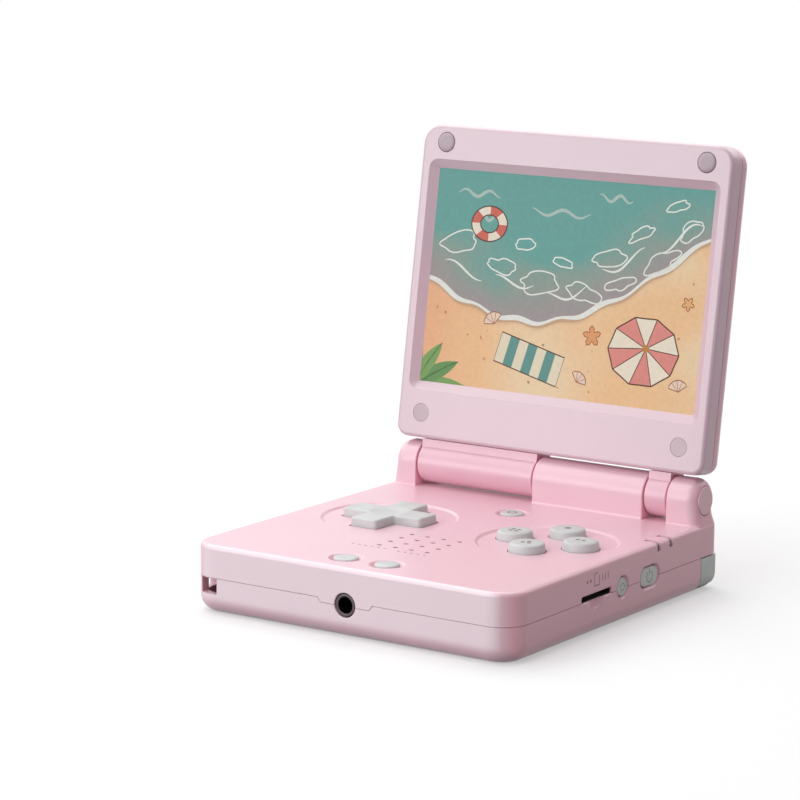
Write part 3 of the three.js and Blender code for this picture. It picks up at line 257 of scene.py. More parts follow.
def smoothstep(t):
    t = min(max(t, 0.0), 1.0)
    return t * t * (3 - 2 * t)


def smooth_normals(mesh, angle):
    """Smooth shading that keeps a flat face's own normal up to its rim, so that a fillet leaves it evenly."""
    triangulate(mesh)
    mesh.polygons.foreach_set("use_smooth", [True] * len(mesh.polygons))
    mesh.set_sharp_from_angle(angle=radians(angle))
    work = bmesh.new()
    work.from_mesh(mesh)
    planes, areas = [], {}
    for face in work.faces:
        n = face.normal
        plane = (*(round(part, 3) for part in n), round(n.dot(face.verts[0].co) / MM, 2))
        planes.append(plane)
        areas[plane] = areas.get(plane, 0.0) + face.calc_area()
    limit = radians(angle)
    normals = [None] * len(mesh.loops)
    for vert in work.verts:
        fans = {face.index: {face.index} for face in vert.link_faces}
        for edge in vert.link_edges:
            if len(edge.link_faces) == 2 and edge.calc_face_angle(pi) < limit:
                first, second = (fans[face.index] for face in edge.link_faces)
                if first is not second:
                    first |= second
                    for index in second:
                        fans[index] = first
        for loop in vert.link_loops:
            total = Vector()
            for face in vert.link_faces:
                if face.index in fans[loop.face.index]:
                    total += face.normal * areas[planes[face.index]]
            normals[loop.index] = total.normalized() if total.length > 0 else loop.face.normal.copy()
    work.free()
    mesh.normals_split_custom_set(normals)


def piece(obj, name, material, body, replaces=(), angle=32, flat=False):
    """Finishes a solid as a named piece: metres, smooth faces, material, body and the nodes it stands for."""
    if body == "lid":
        obj.data.transform(LID_MATRIX)
    obj.data.transform(Matrix.Scale(MM, 4))
    obj.name = name
    obj.data.name = name
    obj.data.materials.clear()
    obj.data.materials.append(material)
    if not flat:
        smooth_normals(obj.data, angle)
    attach(obj, body)
    if replaces:
        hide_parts(*replaces)


# ---- materials


def fill(tree, socket, value):
    """Links an output to a socket, or sets the socket to a value."""
    if isinstance(value, bpy.types.NodeSocket):
        tree.links.new(value, socket)
    else:
        socket.default_value = value


class Nodes:
    """A material's node tree with short calls."""

    def __init__(self, name):
        self.material = bpy.data.materials.new(name)
        self.material.use_nodes = True
        self.tree = self.material.node_tree
        self.bsdf = self.tree.nodes["Principled BSDF"]
        self.where = self.add("ShaderNodeTexCoord").outputs["Object"]

    def add(self, kind, links=None, **values):
        node = self.tree.nodes.new(kind)
        for key, value in values.items():
            setattr(node, key, value)
        for key, value in (links or {}).items():
            fill(self.tree, node.inputs[key], value)
        return node

    def set(self, **values):
        for key, value in values.items():
            fill(self.tree, self.bsdf.inputs[key.replace("_", " ")], value)

    def noise(self, scale, detail=2.0, vector=None):
        links = {"Vector": vector or self.where, "Scale": scale, "Detail": detail, "Roughness": 0.5}
        return self.add("ShaderNodeTexNoise", links).outputs["Fac"]

    def ramp(self, factor, low, high, start=0.3, end=0.7):
        links = {"Value": factor, "From Min": start, "From Max": end, "To Min": low, "To Max": high}
        return self.add("ShaderNodeMapRange", links).outputs["Result"]

    def mix(self, factor, first, second, blend="MIX"):
        node = self.add("ShaderNodeMix", data_type="RGBA", blend_type=blend)
        for key, value in zip(("Factor", "A", "B"), (factor, first, second)):
            fill(self.tree, next(s for s in node.inputs if s.name == key and s.enabled), value)
        return next(s for s in node.outputs if s.enabled)

    def times(self, colour, factors):
        return self.mix(1.0, colour, (*factors, 1.0), "MULTIPLY")

    def math(self, operation, *values):
        return self.add("ShaderNodeMath", dict(enumerate(values)), operation=operation).outputs["Value"]

    def bump(self, height, strength, distance, edge=0.0):
        links = {"Height": height, "Strength": strength, "Distance": distance}
        if edge:
            links["Normal"] = self.add("ShaderNodeBevel", {"Radius": edge}, samples=6).outputs["Normal"]
        self.set(Normal=self.add("ShaderNodeBump", links).outputs["Normal"])


def tint(*colour):
    """An sRGB colour with parts of 11 to 255 as linear values."""
    return (*(((part / 255 + 0.055) / 1.055) ** 2.4 for part in colour), 1.0)


def shade(colour, factor):
    return (*(part * factor for part in colour[:3]), 1.0)


def pearl(name, colour, roughness=0.36, side_shade_tint=(1.16, 0.92, 0.96), coat=1.6, front_sheen_tint=None):
    """Satin plastic with a fine pearl fleck, a painted shade tint on its sides and, if given, a painted pale
    sheen on the front wall and its top edge.
    """
    n, colour = Nodes(name), tint(*colour)
    fleck = n.add("ShaderNodeTexVoronoi", {"Vector": n.where, "Scale": 5200.0}).outputs["Distance"]
    drift = n.noise(60.0, 3.0)
    base = n.mix(n.ramp(drift, 0.0, 1.0), shade(colour, 0.985), shade(colour, 1.012))
    base = n.mix(n.ramp(fleck, 0.10, 0.0, 0.1, 0.6), base, shade(colour, 1.12))
    normal = n.add("ShaderNodeTexCoord").outputs["Normal"]
    # Painted shade: faces turned towards either side get a redder, darker tint that stands in for the shade
    # on the sides.
    side_shade_mask = n.math("ABSOLUTE", n.add("ShaderNodeSeparateXYZ", {0: normal}).outputs["X"])
    base = n.mix(n.ramp(side_shade_mask, 0.0, 1.0, 0.55, 0.85), base, n.times(base, side_shade_tint))
    # Painted sheen: the front wall above the bottom fillet, up to its top edge, is painted paler and greyer,
    # standing in for a reflection of the bright surroundings in front.
    if front_sheen_tint:
        at = n.add("ShaderNodeSeparateXYZ", {0: n.where}).outputs
        above = n.ramp(at["Z"], 0.0, 1.0, 0.0022, 0.0042)
        share = n.math("MULTIPLY", above, n.ramp(at["Y"], 1.0, 0.0, -0.0443, -0.0434))
        base = n.mix(share, base, n.times(base, front_sheen_tint))
    n.set(Base_Color=base, Roughness=n.ramp(n.noise(2600.0), roughness - 0.05, roughness + 0.05),
          Specular_IOR_Level=0.4, Coat_Weight=0.5, Coat_Roughness=0.28, Coat_IOR=coat)
    n.bump(n.noise(3800.0), 0.10, 0.00004)
    return n.material


def moulded(name, colour, roughness, grain=1800.0, strength=0.15, edge=0.0001):
    """Moulded plastic or rubber with a fine grain and slight colour drift."""
    n, colour = Nodes(name), tint(*colour)
    drift = n.ramp(n.noise(240.0, 4.0), 0.0, 1.0)
    n.set(Base_Color=n.mix(drift, shade(colour, 0.94), shade(colour, 1.06)),
          Roughness=n.ramp(n.noise(grain * 0.7), roughness - 0.06, roughness + 0.06))
    n.bump(n.noise(grain, 3.0), strength, 0.00005, edge)
    return n.material


def metal(name, colour, roughness=0.32):
    """Turned or rolled metal with fine lines; its colour is linear."""
    n = Nodes(name)
    scaled = n.add("ShaderNodeMapping", {"Vector": n.where, "Scale": (1.0, 1.0, 14.0)}).outputs["Vector"]
    lines = n.noise(900.0, 3.0, vector=scaled)
    n.set(Base_Color=n.mix(n.ramp(lines, 0.0, 1.0), shade(colour, 0.85), shade(colour, 1.1)), Metallic=1.0,
          Roughness=n.ramp(lines, roughness - 0.08, roughness + 0.1))
    n.bump(lines, 0.12, 0.00003, 0.00008)
    return n.material


# The case shell gets the painted side shade and the painted pale sheen on its front wall.
shell_pink = pearl("shell_pearl_pink", (238, 196, 209), front_sheen_tint=(1.15, 1.42, 1.34))
lid_pink = pearl("lid_pearl_pink", (229, 182, 197), coat=1.75)
# The bezel's side tint is painted shade as well.
bezel_pink = pearl("bezel_pearl_pink", (212, 184, 195), 0.4, (1.2, 1.02, 1.10), 1.9)
cap_pink = pearl("cap_pearl_pink", (243, 208, 219))
button_grey = moulded("button_warm_grey", (203, 205, 205), 0.46, 2200.0, 0.10, 0.0002)
shoulder_grey = moulded("shoulder_grey", (236, 240, 236), 0.5, 2200.0, 0.12, 0.00015)
bumper_rubber = moulded("bumper_rubber", (192, 174, 182), 0.62, 1500.0, 0.25, 0.0002)
plug_mauve = moulded("plug_mauve", (208, 188, 196), 0.6, 1500.0, 0.2)
mat_rubber = moulded("key_mat_rubber", (92, 92, 94), 0.7, 1500.0, 0.2)
steel = metal("screw_steel", (0.56, 0.56, 0.57))
port_steel = metal("port_steel", (0.6, 0.6, 0.61), 0.28)
dark_metal = metal("dark_metal", (0.09, 0.085, 0.085), 0.4)
side_grey = moulded("side_key_grey", (238, 240, 236), 0.5, 2200.0, 0.10, 0.0002)
# Painted shade: near-black brown for the sheets inside the card slots.
slot_shade_brown = moulded("slot_painted_shade", (40, 24, 26), 0.6, 1500.0, 0.1)
jack_ring = metal("jack_ring", (0.11, 0.085, 0.09), 0.36)
dark_plastic = moulded("socket_black", (34, 32, 33), 0.45, 2000.0, 0.1)
lamp_lens = moulded("lamp_lens", (150, 142, 146), 0.3, 2400.0, 0.05)
board_green = moulded("board_green", (34, 96, 62), 0.5, 1200.0, 0.2)
battery_wrap = moulded("battery_wrap", (150, 154, 158), 0.35, 700.0, 0.1)
ribbon_amber = moulded("ribbon_amber", (176, 116, 44), 0.4, 900.0, 0.1)
plate_grey = metal("plate_grey", (0.07, 0.075, 0.08), 0.35)
plate_rim = metal("plate_rim", (0.42, 0.43, 0.44), 0.25)
panel_dark = moulded("panel_dark", (40, 42, 44), 0.4)
# The speaker look also paints the shade in the speaker holes.
speaker_dark = moulded("speaker_mesh_and_hole_shade", (104, 62, 78), 0.6, 3000.0, 0.3)
mark_grey = moulded("mark_grey", (112, 112, 114), 0.5)
mark_light = moulded("mark_pale_grey", (176, 174, 172), 0.5)
mark_mauve = moulded("mark_mauve", (186, 138, 154), 0.5)

# A node takes the first look of which one word is in its name, or else the grey of the buttons
node_looks = {
    steel: "screw hinge_shaft hinge_pin", dark_metal: "hinge_bush hinge_cartridge", speaker_dark: "speaker",
    board_green: "main_board", battery_wrap: "battery_pack", ribbon_amber: "display_cable",
    panel_dark: "display_panel display_glass", mat_rubber: "display_gasket dpad_rocker key_mat",
    dark_plastic: "card_socket headphone_jack", port_steel: "usb_port video_port",
    shell_pink: "shell battery_cover", cap_pink: "hinge_cap", bezel_pink: "lid_bezel",
    lid_pink: "lid_back_cover", plate_grey: "name_plate", lamp_lens: "lamp_", bumper_rubber: "bumper_",
    plug_mauve: "plug_", shoulder_grey: "shoulder",
}
for name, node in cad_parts.items():
    looks = (look for look, words in node_looks.items() if any(word in name for word in words.split()))
    node.data.materials.clear()
    node.data.materials.append(next(looks, button_grey))

# ---- base shells


def body_block(inset=0.0, rear=REAR_CORNER):
    return slab(HALF_X - inset, HALF_Y - inset, BODY_CORNER - inset, inset, TOP - inset,
                BOTTOM_FILLET - inset, max(TOP_FILLET - inset, 0.0), rear=rear - inset)


def cavity():
    return slab(HALF_X - 1.8, HALF_Y - 1.8, 4.8, 1.8, CEILING, 2.0)


def seam_half(side):
    """All space above or below the parting line, which steps down at the jack."""
    at = SEAM + side * SEAM_GAP / 2
    half = 6.8 - side * SEAM_GAP / 2
    rings = [level([(-h, -FAR), (h, -FAR), (h, -HALF_Y + 3), (-h, -HALF_Y + 3)], z)
             for h, z in ((half - 0.4, at - 1.1), (half + 0.4, at + 0.02))]
    return add(box(-FAR, FAR, -FAR, FAR, at, FAR), loft(rings))


def ear_ring(x, inset, foot):
    """Outline in Y and Z of a hinge tower at x: a round top on straight walls that flare at the foot."""
    r = EAR_R - inset
    base = TOP - 0.002
    points = [(x, HINGE_Y - r - foot, base - 2.0)]
    points += [(x, HINGE_Y - r - foot * (1 - s), base + foot * (1 - c)) for s, c in quarter(14)]
    points += [(x, *p) for p in oval(HINGE_Y, HINGE_Z, r, r, [pi - step / 28 * pi for step in range(29)])]
    return points + [(x, HINGE_Y + r, base - 2.0)]


def tower(x0, x1, foot, low, high, steps=8):
    """Hinge tower from x0 to x1 with its end edges rounded."""
    turns = quarter(steps)
    return loft([ear_ring(x0 + low * (1 - c), low * (1 - s), foot) for s, c in turns]
                + [ear_ring(x1 - high * (1 - s), high * (1 - c), foot) for s, c in turns])


def flank(z):
    """How far the ear's side stands out past its upper part at a height."""
    return 1.05 * smoothstep((18.4 - z) / 4.0)


def ear(side):
    inner, outer = RIGHT_EAR if side > 0 else (-LEFT_EAR[1], -LEFT_EAR[0])
    obj = tower(inner, outer, 0.35, 0.3, 2.6, 10)
    for vertex in obj.data.vertices:
        x, _, z = vertex.co
        vertex.co.x = x + flank(z) * smoothstep((x - inner) / (outer - inner))
    rings = []
    wall_z, sink, fillet = 14.6, 0.2, 3.4  # the ear sinks into the case's wall below wall_z
    for z in [TOP - 3, wall_z - 0.15] + [wall_z + 0.25 * step for step in range(17)] + [20.0]:
        sunk = sink if z < wall_z else 0.0
        rings.append(level(rounded(EAR_X + flank(z) - sunk, HALF_Y - sunk, REAR_CORNER, 0, 0, 24), z))
    for s, c in quarter(10):
        rings.append(level(rounded(EAR_X - fillet * (1 - c), HALF_Y, REAR_CORNER, 0, 0, 24),
                           HINGE_Z + EAR_R - fillet * (1 - s) + 0.01))
    common(obj, loft(rings))
    if side < 0:
        obj.data.transform(Matrix.Scale(-1, 4, (1, 0, 0)))
        obj.data.flip_normals()
    return obj


def dish(radius, x, y, depth):
    """Cutter for a shallow round dish whose wall runs out softly."""
    slope = 1.05
    profile = [(radius - slope + slope * t, TOP - depth + (depth + 0.07) * smoothstep(t))
               for t in (step / 12 for step in range(13))]
    return lathe(profile + [(radius + 0.4, TOP + 0.4), (radius + 0.4, TOP + 6)], "Z", (x, y, 0), 160)


def cross(arm, half, corner=0.8):
    """Outline of the cross pad, rounded at the arm ends, with small inner corners."""
    turns, inner = quarter(4), 0.5
    points = [(arm - corner + corner * s, -half + corner - corner * c) for s, c in turns]
    points += [(arm - corner + corner * c, half - corner + corner * s) for s, c in turns]
    points += [(half + inner - inner * s, half + inner - inner * c) for s, c in turns]
    return [point for side in range(4) for point in spun(points, side * pi / 2, PAD_X, PAD_Y)]


def outward(side):
    """Axis that points out of the right or the left wall."""
    return "X" if side > 0 else "-X"


def side_tool(half_y, half_z, y, profile, side=1, z=SIDE_Z, corner=None):
    """Cutter or key in a side wall, with round ends or corners: profile is (grow, distance past the wall)."""
    corner, steps = (min(half_y, half_z), 16) if corner is None else (corner, 6)
    return stack(lambda grow: rounded(half_y + grow, half_z + grow, corner + grow, steps=steps), profile,
                 outward(side), (side * HALF_X, y, z))


def side_cuts():
    key = [(0.22, -4), (0.22, -0.62), (0.3, -0.55), (0.62, -0.1), (0.75, 0.02), (0.9, 2)]
    tools = [side_tool(*RESET, key), side_tool(*POWER, key),
             side_tool(*ROCKER, [(0.5, -4), (0.5, -0.25), (0.7, 0.02), (0.9, 2)], -1)]
    for side, y in SLOTS:
        tools.append(side_tool(6.2, 0.7, y, [(0, -4), (0, -0.2), (0.2, 0.02), (0.4, 2)], side, SLOT_Z, 0.35))
    return tools


def scoop(side, y):
    """Finger notch under a card slot."""
    obj = lathe(oval(0, 0, 3.9, 3.9, [radians(d) for d in range(-89, 90, 6)]), count=64)
    obj.data.transform(Matrix.Translation((side * HALF_X, y, 8.7)) @ Matrix.Diagonal((0.30, 0.74, 0.72, 1.0)))
    return obj


def lamp_tool(y, gap):
    return box(HALF_X - 3.6 - gap, HALF_X + 3, y - 0.7 - gap, y + 0.7 + gap, TOP - 2.0 - gap, TOP + 3)


def jack_hole():
    return lathe([(2.75, -4), (2.75, -0.12), (2.95, 0.02), (3.0, 2)], "-Y", (0, -HALF_Y, JACK_Z))


def strap_windows():
    return [box(-39.4, -34.6, -48, -40.65, *STRAP_Z), box(-46, -38.6, -40.3, -36.65, *STRAP_Z)]


def side_box(side, x, *spans):
    """Box from a distance off the middle to past the right or the left wall."""
    return box(*((x, PAST) if side > 0 else (-PAST, -x)), *spans)


# Ports in the rear wall: X, half width, half height and corner
PORTS = [(-5.55, 4.55, 1.65, 1.65), (6.6, 5.6, 1.65, 0.825)]
PORT_Z = 5.7


def rear_tool(x, z, half_x, half_z, corner, profile):
    return stack(lambda grow: rounded(half_x + grow, half_z + grow, corner + grow, steps=10), profile, "Y",
                 (x, HALF_Y, z))


BOSSES = [(sx * 36.0, y) for y in (-36.5, 26.5) for sx in (-1, 1)]
BAY_HX, BAY_HY, BAY_Y, COVER_TAB_Y = 29.2, 21.2, -6.0, 19.2


def build_top_shell():
    shell = common(body_block(), seam_half(1))
    cut(shell, cavity())
    add(shell, ear(1), ear(-1), tower(*BLOCK, 0.6, 0.35, 0.35))
    cut(shell, dish(16.5, FACE_X, FACE_Y, 0.5), dish(16.2, PAD_X, PAD_Y, 0.45))
    cut(shell, loft([level(cross(PAD_ARM + 0.42, PAD_HALF + 0.42), z) for z in (9, 20)]))
    for x, y in FACES.values():
        cut(shell, lathe([(4.42, 9), (4.42, TOP - 0.5), (4.55, TOP - 0.33), (4.55, TOP + 3)], "Z", (x, y, 0)))
    for x, y in SMALL.values():
        cut(shell, lathe([(3.02, 9), (3.02, TOP - 1.0), (3.1, TOP - 0.86), (3.55, TOP - 0.42),
                          (3.86, TOP - 0.1), (4.1, TOP + 0.02), (4.6, TOP + 3)], "Z", (x, y, 0)))
    for x, y in HOLES:
        cut(shell, lathe([(0.6, 9), (0.6, TOP - 0.12), (0.72, TOP + 0.01), (0.9, TOP + 2)], "Z",
                         (x, SPEAKER_Y + y, 0), 24))
    cut(shell, *side_cuts(), *(lamp_tool(y, 0.05) for y in LAMP_Y.values()), jack_hole())
    for side in (1, -1):
        cut(shell, cylinder(3.42, -1.2, 4, outward(side), (side * EAR_X, HINGE_Y, HINGE_Z)))
    # Bores of the hinge parts, from the wall at x
    for radius, z0, z1, x in ((1.65, -5.2, 2, BLOCK[1]), (1.65, -2, 3.8, RIGHT_EAR[0]),
                              (1.45, -3.2, 2, LEFT_EAR[1]), (3.05, -2, 3.8, BLOCK[0])):
        cut(shell, cylinder(radius, z0, z1, "X", (x, HINGE_Y, HINGE_Z), count=32))
    piece(shell, "case_top", shell_pink, "base", ["base_top_shell"])


def build_bottom_shell():
    shell = cut(body_block(), seam_half(-1), cavity())
    for side in (1, -1):
        cut(shell, side_box(side, SHOULDER_X - 0.3, 36.0, PAST, 1.1, 12))
        cut(shell, rear_tool(side * INNER_SHOULDER_X, *INNER_SHOULDER,
                             [(0.25, -4), (0.25, -0.1), (0.4, 0.02), (0.5, 2)]))
    for x, half_x, half_z, corner in PORTS:
        cut(shell, rear_tool(x, PORT_Z, half_x, half_z, corner,
                             [(0.2, -4), (0.2, -0.15), (0.45, 0.02), (0.6, 2)]))
    bay = rounded(BAY_HX + 1.6, BAY_HY + 1.6, 2.0, 0, BAY_Y)
    cut(shell, loft([level(bay, -2), level(bay, 1.15)]))
    cut(shell, cylinder(3.4, -2, 1.15, "Z", (0, COVER_TAB_Y, 0)))
    for x, y in BOSSES:
        cut(shell, cylinder(1.95, -2, 1.65, "Z", (x, y, 0), count=48))
    cut(shell, *side_cuts(), jack_hole(), *strap_windows(), *(scoop(side, y) for side, y in SLOTS))
    piece(shell, "case_bottom", shell_pink, "base", ["base_bottom_shell"])
    post = cylinder(0.9, STRAP_Z[0] + 0.1, STRAP_Z[1] - 0.1, "Z", (-37.4, -39.4, 0), 0.1, 48)
    piece(post, "strap_post", steel, "base")


# ---- controls


def build_dpad():
    obj = stack(lambda g: cross(PAD_ARM + g, PAD_HALF + g, 0.9 + g), [
        (0.14, 12.4), (0.14, 14.9), (0.05, 16.1), (0.0, 16.8), (-0.06, 16.99), (-0.18, 17.13), (-0.36, 17.22),
        (-0.6, 17.25)])
    hollow = [(1.2 + 4.4 * t, 16.87 + 0.42 * smoothstep(t)) for t in (step / 8 for step in range(9))]
    cut(obj, lathe(hollow + [(6.4, 18)], "Z", (PAD_X, PAD_Y, 0)),
        cylinder(2.6, 11, 12.8, "Z", (PAD_X, PAD_Y, 0)))
    piece(obj, "cross_pad", button_grey, "dpad", ["dpad"])


def build_buttons():
    face = [(4.2, 13.0), (4.2, 15.25), (4.14, 15.6), (4.05, 16.3), (3.98, 16.75), (3.87, 16.96), (3.66, 17.1),
            (3.38, 17.17), (2.5, 17.19), (1.3, 17.2)]
    small = [(2.8, 13.0), (2.8, 15.5), (2.74, 15.68), (2.6, 15.8), (2.3, 15.87), (1.2, 15.9)]
    for places, profile, old, new, count in ((FACES, face, "face_button", "action_button", 96),
                                             (SMALL, small, "button", "key", 72)):
        for name, (x, y) in places.items():
            piece(lathe(profile, "Z", (x, y, 0), count), name.replace(old, new), button_grey, name, [name])


def build_side_buttons():
    for name, size, profile in (
            ("reset", RESET, [(0.06, -2.5), (0.06, -0.5), (0.0, -0.3), (-0.14, -0.19), (-0.5, -0.15)]),
            ("power", POWER, [(0, -2.5), (0, -0.5), (-0.06, -0.3), (-0.2, -0.19), (-0.5, -0.15)])):
        button = f"{name}_button"
        piece(side_tool(*size, profile), f"{name}_key", side_grey, button, [button])
    rocker = side_tool(*ROCKER, [(0, -2.2), (0, 0.1), (-0.08, 0.3), (-0.25, 0.44), (-0.6, 0.5)], -1)
    cut(rocker, box(-PAST, -HALF_X - 0.3, 3.7, 4.3, 5, 12))
    piece(rocker, "volume_key", button_grey, "volume_rocker", ["volume_rocker"])


def build_lamps():
    for name, y in LAMP_Y.items():
        obj = common(lamp_tool(y, 0), body_block(0.45))
        piece(obj, name.replace("lamp", "status_lamp"), lamp_lens, "base", [name])


def build_shoulders():
    for side, name in ((-1, "left"), (1, "right")):
        obj = common(body_block(rear=2.2), side_box(side, SHOULDER_X, 36.3, PAST, 1.4, 8.0))
        cut(obj, slab(HALF_X - 1.6, HALF_Y - 1.6, 5.0, -2, TOP, corner=24, rear=1.6))
        outer, inner = f"shoulder_outer_{name}", f"shoulder_inner_{name}"
        piece(obj, f"shoulder_{name}", shoulder_grey, outer, [outer])
        obj = rear_tool(side * INNER_SHOULDER_X, *INNER_SHOULDER,
                        [(0, -2.7), (0, -0.35), (-0.06, -0.15), (-0.2, -0.03), (-0.5, 0.0)])
        piece(obj, f"inner_shoulder_{name}", shoulder_grey, inner, [inner])


def build_jack():
    obj = lathe([(1.8, -9), (1.8, -0.5), (1.86, -0.3), (2.0, -0.18), (2.25, -0.15), (2.45, -0.2),
                 (2.58, -0.36), (2.6, -0.6), (2.6, -2.8), (2.2, -2.8), (2.2, -10), (1.0, -10), (1.0, -9.4)],
                "-Y", (0, -HALF_Y, JACK_Z))
    piece(obj, "jack_socket", jack_ring, "base", ["headphone_jack"])


def build_caps():
    for side, name in ((-1, "left"), (1, "right")):
        obj = lathe([(3.3, -1.0), (3.3, -0.1), (3.24, 0.05), (3.1, 0.12), (2.85, 0.15), (1.4, 0.15)],
                    outward(side), (side * EAR_X, HINGE_Y, HINGE_Z), 96)
        piece(obj, f"hinge_disc_{name}", cap_pink, "base", [f"hinge_cap_{name}"])


PRINT = (-0.05, 0.012)  # a printed mark's depth under and height over its face


def disc(radius, x, y):
    return cylinder(radius, *PRINT, "Z", (x, y, 0), count=24)


def arc_band(radius, width, start, end):
    """Thin flat band along an arc, angles in degrees."""
    angles = [radians(start + (end - start) * step / 28) for step in range(29)]
    outer, inner = radius + width / 2, radius - width / 2
    points = oval(0, 0, outer, outer, angles) + oval(0, 0, inner, inner, angles[::-1])
    return loft([level(points, z) for z in PRINT])


def bar(x0, x1, y0, y1):
    return box(x0, x1, y0, y1, *PRINT)


def print_mark(parts, name, material, body, place, axis="Z"):
    """Puts thin flat shapes drawn about the origin on a face as one printed mark."""
    verts, faces = [], []
    for part in parts:
        faces += [[index + len(verts) for index in face.vertices] for face in part.data.polygons]
        verts += [vertex.co.copy() for vertex in part.data.vertices]
        remove(part)
    piece(turned(solid(verts, faces), axis, place), name, material, body, angle=20)


def build_marks():
    patterns = {"top": [(0, 0)], "right": [(-0.75, 0), (0.75, 0)],
                "bottom": [(-0.8, -0.5), (0.8, -0.5), (0, 0.8)],
                "left": [(-0.7, -0.7), (0.7, -0.7), (-0.7, 0.7), (0.7, 0.7)]}
    for side, spots in patterns.items():
        button, radius = f"face_button_{side}", 0.8 if side == "top" else 0.5
        print_mark([disc(radius, *spot) for spot in spots], f"action_mark_{side}", mark_grey, button,
                   (*FACES[button], 17.2))
    # Painted shade: mauve discs sit just under the top inside each speaker hole, standing in for the shade in
    # the holes.
    print_mark([disc(0.57, *hole) for hole in HOLES], "speaker_hole_shade", speaker_dark, "base",
               (0, SPEAKER_Y, TOP - 0.15))
    print_mark([arc_band(1.0, 0.34, 0, 359.9)], "menu_mark", mark_grey, "menu_button",
               (*SMALL["menu_button"], 15.9))
    key_x = HALF_X - 0.15
    print_mark([arc_band(1.25, 0.3, -240, 60), bar(-0.15, 0.15, 0.5, 1.75)], "power_mark", mark_light,
               "power_button", (key_x, POWER[2], SIDE_Z), "X")
    print_mark([arc_band(0.8, 0.22, 0, 359.9)], "reset_mark", mark_light, "reset_button",
               (key_x, RESET[2], SIDE_Z), "X")
    for name, x, y, count in (("select_mark", -7.7, -24.4, 6), ("start_mark", 3.9, -24.8, 5)):
        print_mark([disc(0.36, (i - (count - 1) / 2) * 1.7, 0) for i in range(count)], name, mark_mauve,
                   "base", (x, y, TOP))
    card = [bar(-1.1, 1.1, -1.5, -1.25), bar(-1.1, -0.85, -1.5, 1.5), bar(0.85, 1.1, -1.5, 0.8),
            bar(-1.1, 0.3, 1.25, 1.5)]
    card += [bar(x, x + 0.3, -0.8, 0.8) for x in (2.2, 3.4, 4.6)] + [disc(0.4, x, 0) for x in (-2.6, -4.0)]
    print_mark(card, "card_mark", mark_mauve, "base", (HALF_X - 0.007, SLOTS[0][1], 12.6), "X")


# Dark brown sheets on the inner walls of the card slots are painted shade, standing in for the shade inside
# the narrow slits.
def build_slot_shade_sheets():
    for (side, y), name in zip(SLOTS, ("right", "left")):
        obj = side_tool(6.19, 0.69, y, [(0, -1.79), (0, -0.45)], side, SLOT_Z, 0.34)
        cut(obj, side_tool(6.08, 0.58, y, [(0, -4), (0, 1)], side, SLOT_Z, 0.3))
        piece(obj, f"slot_shade_sheet_{name}", slot_shade_brown, "base")


for build in (build_top_shell, build_bottom_shell, build_dpad, build_buttons, build_side_buttons, build_lamps,
              build_shoulders, build_jack, build_caps, build_marks, build_slot_shade_sheets):
    build()

# ---- lid


def lid_block():
    return slab(LID_HALF_X, LID_HALF_Y, 4.6, FACE_Z, BACK_Z, 0.9, 4.6, LID_Y, rear=3.0)


def lid_cavity():
    return slab(LID_HALF_X - 1.7, LID_HALF_Y - 1.7, 4.4, FACE_Z + 1.6, BACK_Z - 1.6, 0, 3.0, LID_Y)


LID_PADS = [("bumper_left", -35.4, -76.7, True), ("bumper_right", 35.4, -76.7, True),
            ("plug_left", -35.4, -11.7, False), ("plug_right", 35.4, -11.7, False)]


def build_bezel():
    obj = cut(lid_block(), box(-FAR, FAR, -100, 20, PARTING - 0.08, 20), lid_cavity())
    rings = []
    for grow, depth in ((3.3, -0.8), (2.16, -0.03), (2.02, 0.04), (0.04, RECESS - 0.03), (0.0, RECESS),
                        (0.0, 3.0)):
        edge = rounded(VIEW_HX + grow, VIEW_HY + grow, 0.25 + grow, 0, VIEW_Y, 8)
        rings.append(level(edge, FACE_Z + depth))
    cut(obj, loft(rings))
    for name, x, y, proud in LID_PADS:
        r = 2.41 if proud else 2.18
        cut(obj, lathe([(r + 0.06, -2), (r + 0.06, -0.02), (r, 0.05), (r, 1.15)], "Z", (x, y, FACE_Z), 64))
    piece(obj, "screen_bezel", bezel_pink, "lid", ["lid_bezel"])


def badge(half_x, half_y, profile):
    """Round-ended plate or cutter at the badge's place: profile is (grow, height over the lid's back)."""
    return stack(lambda grow: rounded(half_x + grow, half_y + grow, half_y + grow, 0, BADGE_Y),
                 [(grow, BACK_Z + height) for grow, height in profile])


def build_lid_back():
    obj = cut(lid_block(), box(-FAR, FAR, -100, 20, -20, PARTING + 0.08), lid_cavity())
    for x0, x1, bore in BARRELS:
        add(obj, box(x0, x1, -8.1, 0, PARTING + 0.08, 2.8), box(x0, x1, -5.55, 0, FACE_Z + 1.1, 2.7))
        barrel = lathe(rounded_profile(BARREL_R, 0, x1 - x0, 0.3, 0.3), "X", (x0, 0, 0), 128)
        cut(barrel, cylinder(bore, -2, x1 - x0 + 2, "X", (x0, 0, 0), count=48))
        add(obj, barrel)
        cut(obj, cylinder(bore - 0.01, -2, x1 - x0 + 2, "X", (x0, 0, 0), count=48))
    cut(obj, badge(11.85, 3.4, [(0, -0.4), (0, -0.1), (0.12, 0.02), (0.2, 2)]))
    piece(obj, "lid_back", lid_pink, "lid", ["lid_back_cover"])
    plate = badge(11.7, 3.25, [(0, -0.35), (0, -0.08), (-0.1, 0), (-0.35, 0.02), (-0.5, -0.03),
                               (-0.55, -0.12)])
    piece(plate, "badge_plate", plate_rim, "lid", ["name_plate"])
    inlay = badge(11.1, 2.65, [(0, -0.2), (0, -0.07), (-0.06, -0.04)])
    piece(inlay, "badge_inlay", plate_grey, "lid")


